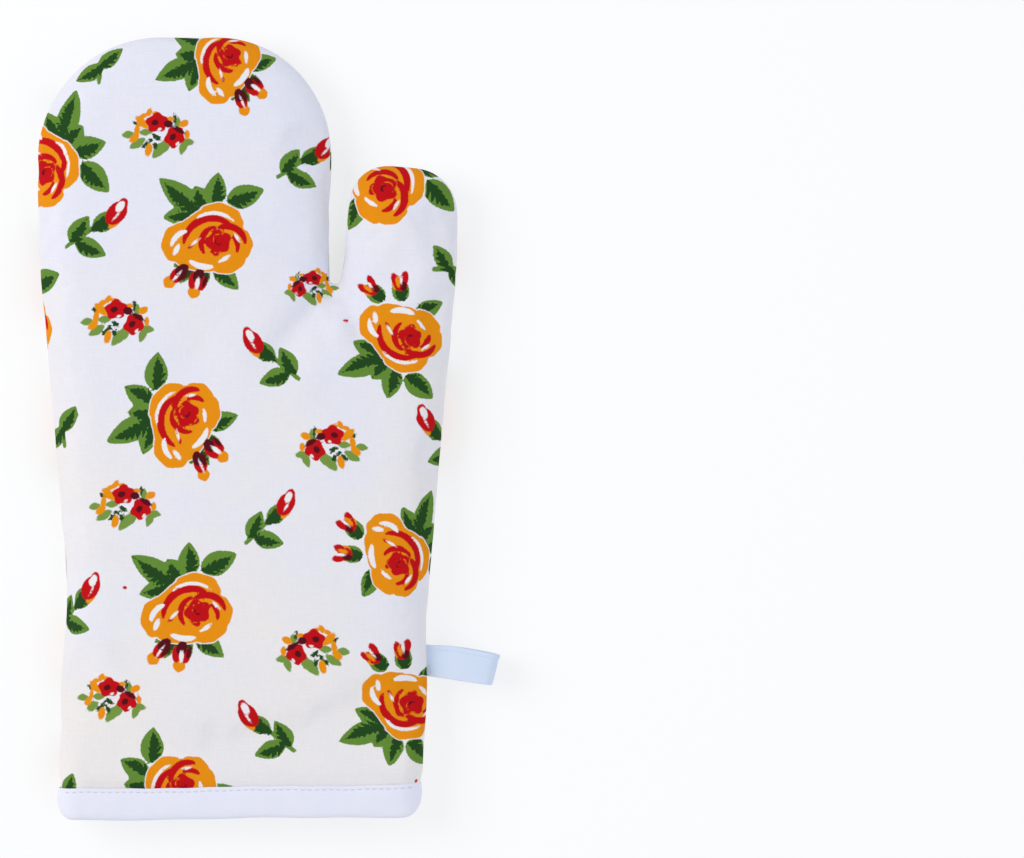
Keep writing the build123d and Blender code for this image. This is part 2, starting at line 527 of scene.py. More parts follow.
class Brush:
    """Draws one motif: each stroke is a distance in millimetres, above 0 inside it."""

    FAR = 4.0
    STEM = 0.8
    INK_GAP = 0.38
    PETAL_EDGE = (7, 0.03)
    BLOSSOM_EDGE = (5, 0.12)
    GREEN_EDGE = (4, 0.08)
    LEAVES = LeafStyle()

    def __init__(
        self, points: np.ndarray, inks: dict[Ink, np.ndarray] | None = None, turn: float = 0.0
    ) -> None:
        """Starts a motif, or a part of one in a frame of its own.

        Args:
            points: the cloth's points in the brush's own frame.
            inks: the motif's inks so far, or None for a motif with no ink on it.
            turn: how far the brush's frame is turned in the motif, in degrees.
        """
        self.points = points
        self.inks = {ink: np.full(len(points), -self.FAR) for ink in Ink} if inks is None else inks
        self.turn = turn

    def moved(self, x: float, y: float, angle: float) -> "Brush":
        """A brush on the same inks, whose frame starts at a point and lies along a direction in degrees."""
        return Brush(np.column_stack(self.turned(x, y, angle)), self.inks, self.turn + angle)

    def add(self, ink: Ink, distance: np.ndarray) -> None:
        """Lays ink wherever the stroke's distance is above 0."""
        self.inks[ink] = np.maximum(self.inks[ink], distance)

    def cut(self, ink: Ink, distance: np.ndarray) -> None:
        """Takes ink away wherever the stroke's distance is above 0."""
        self.inks[ink] = np.minimum(self.inks[ink], -distance)

    def spots(self, ink: Ink, *rows: tuple) -> None:
        """Lays ink in ovals, where each row holds what spot takes."""
        for row in rows:
            self.add(ink, self.spot(*row))

    def arcs(self, ink: Ink, *rows: tuple) -> None:
        """Lays ink along arcs, where each row holds what arc takes."""
        for row in rows:
            self.add(ink, self.arc(*row))

    def foliage(self, *rows: tuple) -> None:
        """Draws leaves, where each row holds what leaf takes."""
        for row in rows:
            self.leaf(*row)

    def turned(self, x: float, y: float, angle: float) -> tuple[np.ndarray, np.ndarray]:
        """The points as distances along and across a direction.

        Args:
            x: where the direction starts.
            y: where the direction starts.
            angle: the direction, in degrees.

        Returns:
            The distances along it and to its left.
        """
        c, s = heading(angle)
        dx, dy = self.points[:, 0] - x, self.points[:, 1] - y
        return dx * c + dy * s, dy * c - dx * s

    def spot(
        self,
        x: float,
        y: float,
        rx: float,
        ry: float,
        angle: float = 0.0,
        lobes: int = 0,
        depth: float = 0.0,
    ) -> np.ndarray:
        """An oval, with a lobed edge where lobes are asked for.

        Args:
            x: its middle.
            y: its middle.
            rx: its half length.
            ry: its half width.
            angle: the way its length points, in degrees.
            lobes: how many lobes its edge has.
            depth: how deep they are, as a share of its radius.

        Returns:
            The distance into the oval.
        """
        along, across = self.turned(x, y, angle)
        swing = np.arctan2(across / ry, along / rx)
        edge = 1.0 + depth * np.cos(lobes * swing)
        return (edge - np.hypot(along / rx, across / ry)) * min(rx, ry)

    def arc(self, x: float, y: float, radius: float, start: float, end: float, width: float) -> np.ndarray:
        """A brush stroke along an arc, widest in its middle and pointed at its ends.

        Args:
            x: the arc's centre.
            y: the arc's centre.
            radius: the arc's radius.
            start: the angle where it starts, in degrees.
            end: the angle where it ends.
            width: half its greatest width.

        Returns:
            The distance into the stroke.
        """
        dx, dy = self.points[:, 0] - x, self.points[:, 1] - y
        middle = math.radians((start + end) / 2)
        half_span = math.radians(abs(end - start) / 2)
        swing = np.abs(np.angle(np.exp(1j * (np.arctan2(dy, dx) - middle))))
        body = width * np.sqrt(1.0 - np.clip(swing / half_span, 0.0, 1.0) ** 2)
        past = np.maximum(swing - half_span, 0.0) * radius
        return body - np.hypot(np.hypot(dx, dy) - radius, past)

    def stem(self, x: float, y: float, angle: float, length: float) -> None:
        """Draws a straight stem.

        Args:
            x: where it starts.
            y: where it starts.
            angle: its direction, in degrees.
            length: its length.
        """
        along, across = self.turned(x, y, angle)
        past = np.maximum(np.maximum(-along, along - length), 0.0)
        self.add(Ink.LEAF, self.STEM - np.hypot(past, across))

    def leaf(self, x: float, y: float, angle: float, length: float, width: float) -> None:
        """Draws a pointed leaf with a dark vein and side veins, darker on the side that faces down.

        Args:
            x: where its stalk joins.
            y: where its stalk joins.
            angle: the way it points, in degrees.
            length: from stalk to tip.
            width: its greatest width.
        """
        style = self.LEAVES
        along, across = self.turned(x, y, angle)
        side, across = np.sign(across), np.abs(across)
        share = np.clip(along / length, 0.0, 1.0)
        past = np.maximum(np.maximum(-along, along - length), 0.0)
        half = width / 2 * np.sin(math.pi * share**style.fullness) ** style.fullness
        teeth = style.tooth_depth * np.abs(np.sin(along * style.tooth_rate + side))
        self.add(Ink.LEAF, half - teeth - np.hypot(across, past * style.tip))
        wave = along * style.vein_rate - across * style.vein_slant + side * style.vein_stagger
        veins = style.vein_reach * (0.5 + 0.5 * np.sin(wave)) * (1.0 - share)
        lower_side = -math.copysign(1.0, heading(self.turn + angle)[0])
        shade = half * (style.midrib + veins) * (1.0 + style.lower_shade * lower_side * side)
        fade = 1.0 - smoothstep(style.fade_from, style.fade_to, share)
        self.add(Ink.LEAF_DARK, shade * fade - style.vein_edge - np.hypot(across, past * style.vein_tip))

    def bud(self, x: float, y: float, angle: float, spread: float) -> None:
        """Draws a half-open bud: dark base, red petals, white light and an orange tip.

        Args:
            x: where its stem joins.
            y: where its stem joins.
            angle: the way it points, in degrees.
            spread: how far its two red petals stand apart.
        """
        bud = self.moved(x, y, angle)
        bud.foliage((-1.0, 1.6, 10, 9.5, 4.4), (-0.5, -1.4, -26, 6.4, 3.4))
        bud.spots(Ink.LEAF_DARK, (0.8, 0.6, 2.4, 2.2))
        bud.spots(Ink.ORANGE, (10.8, -0.3, 2.8, 2.5, 0, 5, 0.05))
        bud.spots(Ink.RED, (6.4, -spread, 3.3, 1.7, 6), (6.6, spread, 3.0, 1.6, -6))
        bud.spots(Ink.MAROON, (3.4, -0.4, 3.0, 2.0, -14), (5.2, spread + 0.9, 2.4, 0.8, -8))
        bud.spots(Ink.WHITE, (7.0, 0.1, 2.3, 0.35 + 0.4 * (spread - 1.0), 4))

    def open_bud(self, x: float, y: float, angle: float) -> None:
        """Draws a bud that is opening: green cup, orange heart and parted red petals with white between.

        Args:
            x: where its stem joins.
            y: where its stem joins.
            angle: the way it points, in degrees.
        """
        bud = self.moved(x, y, angle)
        bud.foliage((-2.0, 0.4, 16, 9.0, 4.6), (-2.0, -0.4, -18, 9.0, 4.6))
        bud.spots(Ink.LEAF_DARK, (1.8, 0.0, 3.2, 2.1))
        bud.spots(Ink.RED, (6.0, 0.2, 3.2, 2.9), (8.4, 2.3, 3.0, 1.7, 14), (8.2, -2.0, 3.0, 1.6, -16))
        heart = (7.0, -1.0, 3.0, 1.1, -6)
        bud.cut(Ink.RED, bud.spot(*heart))
        bud.spots(Ink.ORANGE, heart, (5.6, -2.6, 1.8, 0.9, -12))
        bud.spots(Ink.MAROON, (4.6, 1.5, 1.8, 1.2, 10))
        bud.spots(Ink.WHITE, (8.2, 0.7, 2.1, 0.45, 4))

    def rose(self) -> None:
        """Draws a full rose with its leaves and two hanging buds."""
        self.bud(-8.2, -12.0, 224, 1.1)
        self.bud(-2.4, -13.2, 254, 2.2)
        self.open_rose()

    def rose_spray(self) -> None:
        """Draws a full rose with its leaves and two opening buds that stand clear of it."""
        self.open_bud(-14.1, -14.3, 206)
        self.open_bud(-5.3, -18.0, 244)
        self.open_rose()

    def open_rose(self) -> None:
        """Draws a full rose with its leaves."""
        self.foliage(
            (-3.4, 10.8, 140, 22.4, 10.6),
            (0.2, 10.6, 116, 12.5, 10.0),
            (-4.0, 10.2, 187, 15.2, 8.6),
            (2.8, 13.0, 82, 15.0, 9.4),
            (8.6, 15.0, 19, 16.8, 10.2),
            (3.2, -11.5, -47, 15.2, 8.6),
        )
        for petal in (
            (2.1, -1.4, 15.2, 13.2, 0),
            (-12.2, -2.4, 7.2, 8.4, -20),
            (6.0, 7.6, 9.6, 6.6, -14),
            (13.6, -3.2, 6.0, 6.8, 0),
            (9.6, -10.0, 7.6, 5.2, 24),
            (-7.6, -8.6, 8.0, 5.0, -20),
        ):
            distance = self.spot(*petal, *self.PETAL_EDGE)
            self.add(Ink.ORANGE, distance)
            self.add(Ink.OUTLINE, distance + self.INK_GAP)
        self.arcs(
            Ink.RED,
            (2.0, -4.0, 12.1, 176, 46, 1.5),
            (4.6, -2.8, 7.2, 218, 96, 1.15),
            (8.6, -3.4, 8.0, 132, 2, 1.35),
            (7.6, -4.2, 5.6, 58, -26, 0.95),
        )
        self.spots(
            Ink.RED,
            (4.8, -2.2, 5.3, 4.8, 30, 5, 0.1),
            (3.6, -6.0, 1.6, 2.2, 20),
            (-7.0, -4.0, 1.3, 0.6, 35),
        )
        for swirl in (
            (5.4, -1.2, 2.7, 20, 215, 0.38),
            (4.2, -3.2, 3.5, 196, 310, 0.34),
            (4.6, -2.2, 5.6, 70, 140, 0.4),
            (9.0, -2.6, 5.0, 60, 120, 0.4),
        ):
            self.cut(Ink.RED, self.arc(*swirl))
        self.arcs(Ink.MAROON, (5.0, -2.0, 1.2, 120, 330, 0.28))
        self.arcs(
            Ink.WHITE,
            (2.7, -2.6, 12.9, 126, 46, 0.62),
            (-7.6, -5.4, 8.0, 98, 170, 1.0),
            (0.3, -0.4, 12.5, 230, 282, 1.15),
            (1.6, 1.2, 12.2, 284, 314, 0.6),
        )
        self.spots(
            Ink.WHITE,
            (-13.2, -5.4, 2.3, 0.95, 62),
            (-5.2, -2.2, 1.9, 0.45, 38),
            (13.0, -0.3, 1.8, 0.5, -55),
            (7.8, -9.2, 1.4, 0.8, 30),
        )

    def sprig(self) -> None:
        """Draws a bud on a stem with two leaves, from the stem's end along the motif's own X."""
        self.stem(0.0, 0.0, -3, 18.0)
        self.foliage(
            (2.4, 0.6, 16, 13.8, 7.8),
            (4.6, -0.6, -62, 14.2, 8.2),
            (14.0, -1.0, 12, 9.5, 5.0),
            (14.0, -1.6, -16, 10.0, 5.0),
        )
        self.spots(Ink.LEAF_DARK, (17.0, -1.4, 4.2, 1.8, -2))
        self.spots(Ink.ORANGE, (22.8, -4.2, 3.4, 1.5, 6))
        self.spots(Ink.RED, (25.4, -1.6, 5.4, 3.7, 12), (29.8, -0.4, 2.6, 1.9, 30))
        self.spots(Ink.WHITE, (28.4, -0.4, 2.4, 1.35, 18), (24.6, -2.6, 1.6, 0.35, 10))

    def leaves(self) -> None:
        """Draws a pair of leaves on a short stem."""
        self.stem(0.0, 0.5, 265, 7.0)
        self.foliage((-1.0, 0.0, 40, 13.0, 7.4), (1.0, 0.6, 208, 13.0, 7.4))

    def fleck(self) -> None:
        """Draws a stray speck of red ink."""
        self.spots(Ink.RED, (0.0, 0.0, 0.8, 0.6))

    def posy(self) -> None:
        """Draws two red flowers with dark centres among orange petals and light leaves."""
        for green in (
            (-13.0, -0.8, 2.4, 1.4, 10),
            (-5.3, 0.2, 2.6, 1.3, 5),
            (-8.8, -4.6, 3.4, 1.7, 32),
            (0.8, -7.4, 4.2, 2.0, 50),
            (3.2, -5.8, 1.8, 2.4, 0),
            (8.7, 4.2, 1.2, 2.4, 0),
            (11.2, -6.2, 3.2, 1.4, 70),
            (13.2, -4.0, 2.5, 1.4, -10),
        ):
            self.spots(Ink.LEAF_LIGHT, (*green, *self.GREEN_EDGE))
        self.spots(
            Ink.LEAF_DARK,
            (7.4, 5.9, 0.7, 1.8),
            (-9.2, 4.0, 1.5, 0.8, -30),
            (-0.6, -1.9, 1.8, 0.9, -35),
            (-3.2, -3.4, 1.0, 0.8, -20),
            (-1.1, -5.7, 0.9, 1.3),
            (-5.4, -5.4, 1.6, 0.8, 40),
        )
        self.spots(
            Ink.ORANGE,
            (-3.8, 8.8, 1.8, 1.0, 60),
            (-0.6, 8.2, 2.0, 0.9, -10),
            (-6.2, 7.4, 1.4, 0.9, 20),
            (-6.8, 4.4, 3.4, 1.5, -42),
            (-9.1, 1.1, 2.3, 1.1, 80),
            (-10.4, -2.4, 2.4, 1.4, 40),
            (-4.0, -7.4, 2.7, 1.4, 75),
            (5.5, 6.0, 1.5, 0.9),
            (11.4, 4.0, 2.1, 1.4, 25),
            (12.9, -0.8, 1.0, 1.8),
        )
        for x, y, turn in ((-0.4, 4.4, 20), (7.4, -1.9, 50)):
            self.spots(Ink.RED, (x, y, 4.5, 3.9, turn, *self.BLOSSOM_EDGE))
            self.spots(Ink.MAROON, (x - 0.8, y, 1.5, 1.1, turn))
            self.spots(Ink.WHITE, (x + 1.2, y - 2.9, 0.8, 0.45, turn))
        self.spots(Ink.MAROON, (4.7, 3.8, 1.8, 1.5), (9.2, 1.2, 2.8, 0.9, -32))


@dataclass(frozen=True)
class Stamp:
    """One place in the print: a motif, where it lies, how it is turned, its scale and if it is mirrored."""

    motif: Callable[[Brush], None]
    x: float
    y: float
    turn: float = 0.0
    scale: float = 1.0
    mirrored: bool = False


ROSE_PRINT = (
    Stamp(Brush.rose, -7.2, 318.2, 66, 0.87),
    Stamp(Brush.rose, -12.8, 245.5, 0, 0.97),
    Stamp(Brush.rose, -25.0, 168.0, 66, 0.96),
    Stamp(Brush.rose, -21.8, 90.3, 7, 0.98),
    Stamp(Brush.rose, -27.0, 11.6, 66, 0.96),
    Stamp(Brush.rose, -82.4, 278.2, -66),
    Stamp(Brush.rose, -100.0, 210.0),
    Stamp(Brush.rose, -92.0, 366.0, 0, 0.96),
    Stamp(Brush.open_rose, 61.2, 271.5, -66, 1.04),
    Stamp(Brush.rose_spray, 67.2, 203.4, -20, 0.92, True),
    Stamp(Brush.rose_spray, 67.4, 113.6, -70, 0.92),
    Stamp(Brush.rose_spray, 67.9, 49.4, -20, 0.92, True),
    Stamp(Brush.rose_spray, 76.0, 362.0, 0, 0.92, True),
    Stamp(Brush.sprig, 16.6, 270.6, 36, 0.94),
    Stamp(Brush.sprig, -72.0, 241.5, 37),
    Stamp(Brush.sprig, 25.4, 186.2, 137, 0.96, True),
    Stamp(Brush.sprig, 3.4, 117.5, 48, 0.92),
    Stamp(Brush.sprig, -78.6, 81.2, 50, 0.96),
    Stamp(Brush.sprig, 23.4, 30.2, 137, 0.97, True),
    Stamp(Brush.sprig, 97.6, 152.3, 134, 0.98, True),
    Stamp(Brush.sprig, 35.0, 343.0, 132, 0.94, True),
    Stamp(Brush.sprig, 104.0, 306.0, 134, 0.96, True),
    Stamp(Brush.leaves, -57.6, 316.4),
    Stamp(Brush.leaves, -75.6, 164.4, 15),
    Stamp(Brush.leaves, 88.5, 232.4, -85),
    Stamp(Brush.leaves, -73.0, 9.0, 30),
    Stamp(Brush.posy, -33.4, 289.0, 0, 0.95),
    Stamp(Brush.posy, -50.6, 211.0, 0, 0.97),
    Stamp(Brush.posy, 31.0, 225.6, 180, 0.7, True),
    Stamp(Brush.posy, 39.3, 158.4, 180, 0.96, True),
    Stamp(Brush.posy, -47.6, 133.6, 0, 0.96),
    Stamp(Brush.posy, 31.4, 73.2, 180, 0.96, True),
    Stamp(Brush.posy, -53.4, 53.4, 0, 0.94),
    Stamp(Brush.posy, 53.0, 316.0, 180, 0.96, True),
    Stamp(Brush.posy, -42.0, 367.0, 0, 0.96),
    Stamp(Brush.fleck, -47.3, 98.9),
    Stamp(Brush.fleck, 45.2, 210.8),
    Stamp(Brush.fleck, 75.0, 17.0, 25),
)


@dataclass
class RosePrint:
    """The rose print of the cloth, kept as each ink's distance at every point of a panel."""

    stamps: tuple[Stamp, ...] = ROSE_PRINT
    reach: float = 34.0

    def ink_levels(self, flat: np.ndarray) -> np.ndarray:
        """Prints the cloth.

        Args:
            flat: the cloth's flat points in millimetres.

        Returns:
            One row a point and one column an ink: the distance into its nearest stroke, as a level
            from 0 to 1 that is a half on the stroke's edge.
        """
        distances = np.full((len(flat), len(Ink)), -Brush.FAR)
        for stamp in self.stamps:
            offset = flat - np.array([stamp.x, stamp.y])
            near = np.flatnonzero(np.hypot(offset[:, 0], offset[:, 1]) < self.reach * stamp.scale)
            if not len(near):
                continue
            c, s = heading(stamp.turn)
            local = offset[near] @ np.array([[c, -s], [s, c]]) / stamp.scale
            if stamp.mirrored:
                local[:, 1] *= -1
            brush = Brush(local)
            stamp.motif(brush)
            for ink in Ink:
                column = distances[:, ink.value]
                column[near] = np.maximum(column[near], brush.inks[ink] * stamp.scale)
        return np.clip(0.5 + distances / (2 * Brush.FAR), 0.0, 1.0)


class Sock:
    """One output of a shader node, with arithmetic that adds Math nodes."""

    def __init__(self, graph: "Graph", socket: bpy.types.NodeSocket) -> None:
        """Wraps a socket of a material's nodes."""
        self.graph = graph
        self.socket = socket

    def __add__(self, other: "Sock | float") -> "Sock":
        """The sum."""
        return self.graph.math("ADD", self, other)

    def __sub__(self, other: "Sock | float") -> "Sock":
        """The difference."""
        return self.graph.math("SUBTRACT", self, other)

    def __rsub__(self, other: float) -> "Sock":
        """The difference, with a number first."""
        return self.graph.math("SUBTRACT", other, self)

    def __mul__(self, other: "Sock | float") -> "Sock":
        """The product."""
        return self.graph.math("MULTIPLY", self, other)

    __radd__ = __add__
    __rmul__ = __mul__


class Graph:
    """A material's nodes, added by short calls."""

    THREAD_CROWN = 0.7

    def __init__(self, name: str) -> None:
        """Starts a material.

        Args:
            name: the material's name.
        """
        self.material = bpy.data.materials.new(name)
        self.material.use_nodes = True
        self.tree = self.material.node_tree
        self.shader = self.tree.nodes["Principled BSDF"]

    def node(self, kind: str, settings: dict | None = None, inputs: dict | None = None) -> bpy.types.Node:
        """Adds a node.

        Args:
            kind: the node's type.
            settings: attributes set on it first.
            inputs: the value or link of each named or numbered input.

        Returns:
            The node.
        """
        node = self.tree.nodes.new(kind)
        for key, value in (settings or {}).items():
            setattr(node, key, value)
        for key, value in (inputs or {}).items():
            self.feed(node.inputs[key], value)
        return node

    def feed(self, target: bpy.types.NodeSocket, value: "Sock | float | tuple") -> None:
        """Links a socket or sets its value.

        Args:
            target: the input.
            value: the output that feeds it, or the value that it keeps.
        """
        if isinstance(value, Sock):
            self.tree.links.new(value.socket, target)
        else:
            target.default_value = value

    def surface(self, values: dict[str, "Sock | float | tuple"]) -> None:
        """Links or sets inputs of the shader by their names."""
        for name, value in values.items():
            self.feed(self.shader.inputs[name], value)

    def out(self, node: bpy.types.Node, name: str | int = 0) -> Sock:
        """One of a node's outputs."""
        return Sock(self, node.outputs[name])

    def math(self, operation: str, *values: Sock | float) -> Sock:
        """A Math node on one to three values."""
        return self.out(self.node("ShaderNodeMath", {"operation": operation}, dict(enumerate(values))))

    def mix(
        self, factor: Sock | float, below: Sock | tuple, above: Sock | tuple, blend: str = "MIX"
    ) -> Sock:
        """A colour mix, through the Mix node's colour sockets.

        Args:
            factor: how much of the upper colour shows.
            below: the lower colour.
            above: the upper colour.
            blend: how the two are blended.

        Returns:
            The mixed colour.
        """
        settings = {"data_type": "RGBA", "blend_type": blend}
        return self.out(self.node("ShaderNodeMix", settings, {0: factor, 6: below, 7: above}), 2)

    def noise(self, vector: Sock, scale: float, detail: float = 2.0) -> Sock:
        """A soft noise from 0 to 1.

        Args:
            vector: where it is read.
            scale: how many bumps there are in a metre.
            detail: how many finer layers it has.

        Returns:
            The noise.
        """
        inputs = {"Vector": vector, "Scale": scale, "Detail": detail}
        return self.out(self.node("ShaderNodeTexNoise", {}, inputs))

    def stretched(self, vector: Sock, x: float, y: float) -> Sock:
        """Coordinates stretched along each axis of the cloth."""
        return self.out(self.node("ShaderNodeMapping", {}, {"Vector": vector, "Scale": (x, y, 1.0)}))

    def axis(self, vector: Sock, number: int) -> Sock:
        """One number of a vector."""
        return self.out(self.node("ShaderNodeSeparateXYZ", {}, {0: vector}), number)

    def coordinates(self, output: str) -> Sock:
        """Texture coordinates of one kind, UV or Object."""
        return self.out(self.node("ShaderNodeTexCoord"), output)

    def bump(self, height: Sock, distance: float, strength: float) -> None:
        """Feeds a height into the shader's normal.

        Args:
            height: the height, where 1 is the given distance.
            distance: that distance, in metres.
            strength: how much of the bump shows.
        """
        inputs = {"Height": height, "Distance": distance, "Strength": strength}
        self.surface({"Normal": self.out(self.node("ShaderNodeBump", {}, inputs))})

    def weave(self, vector: Sock, pitch: float) -> Sock:
        """The height of a plain weave, from 0 between threads to about 1 on them.

        Args:
            vector: coordinates in metres along the threads.
            pitch: the distance between threads, in metres.

        Returns:
            The height.
        """
        across, along = (self.math("SINE", self.axis(vector, i) * (math.pi / pitch)) for i in range(2))
        over = self.math("GREATER_THAN", across * along, 0.0)
        warp = self.math("ABSOLUTE", across)
        weft = self.math("ABSOLUTE", along)
        crown = (warp * over + weft * (1 - over)) * self.THREAD_CROWN
        return crown + warp * weft * (1 - self.THREAD_CROWN)


@dataclass(frozen=True)
class PrintedCotton:
    """White plain-weave cotton with the rose print on it."""

    ground: Colour = linear(239, 238, 248)
    # A warm colour, for the cloth's random blotches and for the painted warm light towards the cuff.
    warm: Colour = linear(246, 240, 237)
    # The colour that the cloth darkens towards: painted shade between the threads, and random tone on the
    # slubs.
    between_threads: Colour = (0.72, 0.72, 0.77, 1.0)
    thread_pitch: float = 0.00048
    thread_height: float = 0.00012
    thread_bump: float = 0.55
    thread_shade: float = 0.2
    slub_scale: float = 160.0
    slub_stretch: float = 14.0
    slub_shade: float = 0.3
    slub_height: float = 0.5
    least_shade: float = 0.04
    roughness: float = 0.78
    roughness_swing: float = 0.2
    specular: float = 0.12
    blotch_scale: float = 17.0
    blotch_detail: float = 3.0
    blotch_level: float = 0.38
    blotch_contrast: float = 2.4
    # The painted warm light: below this height of the cloth, in metres, it grows at this slope towards the
    # cuff.
    painted_light_below: float = 0.2
    painted_light_slope: float = 3.6
    wander_scale: float = 900.0
    ink_edge: float = 0.24
    ink_gain: float = 0.16
    raggedness: float = 0.4
    leaf_raggedness: float = 1.7
    colours: tuple[Colour, ...] = (
        linear(122, 154, 68),
        linear(102, 142, 54),
        linear(34, 72, 28),
        linear(244, 242, 246),
        linear(241, 148, 14),
        linear(200, 10, 20),
        linear(88, 12, 24),
        linear(246, 242, 242),
    )

    def build(self) -> bpy.types.Material:
        """Makes the material: ground cloth with random blotches and painted warm light towards the cuff,
        inks in order, thread colour with painted shade between the threads, and weave.

        Returns:
            The material.
        """
        graph = Graph("printed_cotton")
        cloth = graph.coordinates("UV")
        slub_across = graph.noise(graph.stretched(cloth, 1.0, self.slub_stretch), self.slub_scale)
        slub_along = graph.noise(graph.stretched(cloth, self.slub_stretch, 1.0), self.slub_scale)
        blotch = graph.noise(cloth, self.blotch_scale, self.blotch_detail)
        uneven = (blotch - self.blotch_level) * self.blotch_contrast
        # Painted warm light: the cloth is painted warmer towards the cuff, on top of the random warm
        # blotches of its tone.
        painted_warm_light = (self.painted_light_below - graph.axis(cloth, 1)) * self.painted_light_slope
        colour = graph.mix(uneven + painted_warm_light, self.ground, self.warm)
        wander = graph.noise(cloth, self.wander_scale) - 0.5
        for name, inks in INK_LAYERS.items():
            attribute = graph.node("ShaderNodeAttribute", {"attribute_name": name})
            channels = graph.node("ShaderNodeSeparateColor", {}, {0: graph.out(attribute, "Color")})
            levels = [graph.out(channels, i) for i in range(3)] + [graph.out(attribute, "Alpha")]
            for level, ink in zip(levels, inks):
                mask = self.mask(graph, level, wander, ink)
                colour = graph.mix(mask, colour, self.colours[ink.value])
        weave = graph.weave(cloth, self.thread_pitch)
        # A little darker everywhere, darker on the random slubs, and painted shade between the threads,
        # where the weave is low.
        slubs = slub_across + slub_along
        shade = self.least_shade + self.slub_shade * slubs - self.thread_shade * weave
        graph.surface(
            {
                "Base Color": graph.mix(shade, colour, self.between_threads, "MULTIPLY"),
                "Roughness": self.roughness + self.roughness_swing * slub_along,
                "Specular IOR Level": self.specular,
            }
        )
        graph.bump(weave + self.slub_height * slubs, self.thread_height, self.thread_bump)
        return graph.material

    def mask(self, graph: Graph, level: Sock, wander: Sock, ink: Ink) -> Sock:
        """Where an ink shows, with an edge that wanders a little.

        Args:
            graph: the material.
            level: the ink's stored level.
            wander: a noise about 0.
            ink: the ink.

        Returns:
            1 on the ink and 0 off it.
        """
        raggedness = self.leaf_raggedness if ink is Ink.LEAF_DARK else self.raggedness
        distance = (level - 0.5) * (2 * Brush.FAR) + wander * raggedness + self.ink_gain
        inputs = {"Value": distance, "From Min": -self.ink_edge, "From Max": self.ink_edge}
        return graph.out(graph.node("ShaderNodeMapRange", {"interpolation_type": "SMOOTHSTEP"}, inputs))


@dataclass(frozen=True)
class PlainCloth:
    """An unprinted woven cloth or tape."""

    name: str
    colour: Colour
    shadow: Colour
    thread_pitch: float
    output: str = "UV"
    thread_height: float = 0.00012
    thread_bump: float = 0.6
    thread_shade: float = 0.18
    slub_scale: float = 220.0
    slub_stretch: float = 12.0
    slub_shade: float = 0.25
    slub_height: float = 0.6
    blotch_scale: float = 60.0
    blotch_detail: float = 3.0
    blotch_shade: float = 0.3
    roughness: float = 0.74
    roughness_swing: float = 0.22
    sheen: float = 0.06
    specular: float = 0.25

    def build(self) -> bpy.types.Material:
        """Makes the material: a plain weave with uneven threads, random blotches and painted shade between
        the threads.

        Returns:
            The material.
        """
        graph = Graph(self.name)
        cloth = graph.coordinates(self.output)
        slub = graph.noise(graph.stretched(cloth, 1.0, self.slub_stretch), self.slub_scale)
        blotch = graph.noise(cloth, self.blotch_scale, self.blotch_detail)
        weave = graph.weave(cloth, self.thread_pitch)
        # Darker towards the shadow colour on random slubs and blotches, and painted shade between the
        # threads, where the weave is low.
        shade = self.slub_shade * slub + self.blotch_shade * blotch - self.thread_shade * weave
        graph.surface(
            {
                "Base Color": graph.mix(shade, self.colour, self.shadow),
                "Roughness": self.roughness + self.roughness_swing * slub,
                "Sheen Weight": self.sheen,
                "Specular IOR Level": self.specular,
            }
        )
        graph.bump(weave + self.slub_height * slub, self.thread_height, self.thread_bump)
        return graph.material


@dataclass(frozen=True)
class Fibre:
    """Loose wadding or twisted thread, with fine fibres in no one direction."""

    name: str
    colour: Colour
    shadow: Colour
    scale: float
    height: float
    bump: float = 0.8
    detail: float = 4.0
    roughness: float = 0.7
    roughness_swing: float = 0.28
    specular: float = 0.2

    def build(self) -> bpy.types.Material:
        """Makes the material: a fibrous noise in colour and height.

        Returns:
            The material.
        """
        graph = Graph(self.name)
        fibres = graph.noise(graph.coordinates("Object"), self.scale, self.detail)
        graph.surface(
            {
                "Base Color": graph.mix(fibres, self.shadow, self.colour),
                "Roughness": self.roughness + self.roughness_swing * fibres,
                "Specular IOR Level": self.specular,
            }
        )
        graph.bump(fibres, self.height, self.bump)
        return graph.material


TAPE_PITCH = 0.00042
LOOP_COLOURS = (linear(220, 231, 249), linear(190, 206, 234))
LINING_CLOTH = PlainCloth("lining_cotton", linear(236, 233, 226), linear(206, 202, 196), 0.0006)
BINDING_TAPE = PlainCloth("binding_tape", linear(241, 240, 252), linear(215, 215, 236), TAPE_PITCH)
LOOP_TAPE = PlainCloth("loop_tape", *LOOP_COLOURS, TAPE_PITCH)
LOOP_TAIL_TAPE = PlainCloth("loop_tail_tape", *LOOP_COLOURS, TAPE_PITCH, "Object")
WADDING = Fibre("wadding", linear(240, 238, 232), linear(206, 203, 196), 900.0, 0.0006)
THREAD = Fibre("thread", linear(236, 235, 240), linear(186, 186, 200), 2600.0, 0.0001)


@dataclass
class Finishes:
    """Every material of the mitt, made once."""

    printed_cotton: bpy.types.Material = field(default_factory=PrintedCotton().build)
    lining: bpy.types.Material = field(default_factory=LINING_CLOTH.build)
    binding: bpy.types.Material = field(default_factory=BINDING_TAPE.build)
    loop: bpy.types.Material = field(default_factory=LOOP_TAPE.build)
    loop_tails: bpy.types.Material = field(default_factory=LOOP_TAIL_TAPE.build)
    wadding: bpy.types.Material = field(default_factory=WADDING.build)
    thread: bpy.types.Material = field(default_factory=THREAD.build)


def linked(name: str, data: bpy.types.ID) -> bpy.types.Object:
    """Puts a new object in the scene.

    Args:
        name: its name.
        data: its mesh, lamp or camera.

    Returns:
        The object.
    """
    new = bpy.data.objects.new(name, data)
    bpy.context.scene.collection.objects.link(new)
    return new


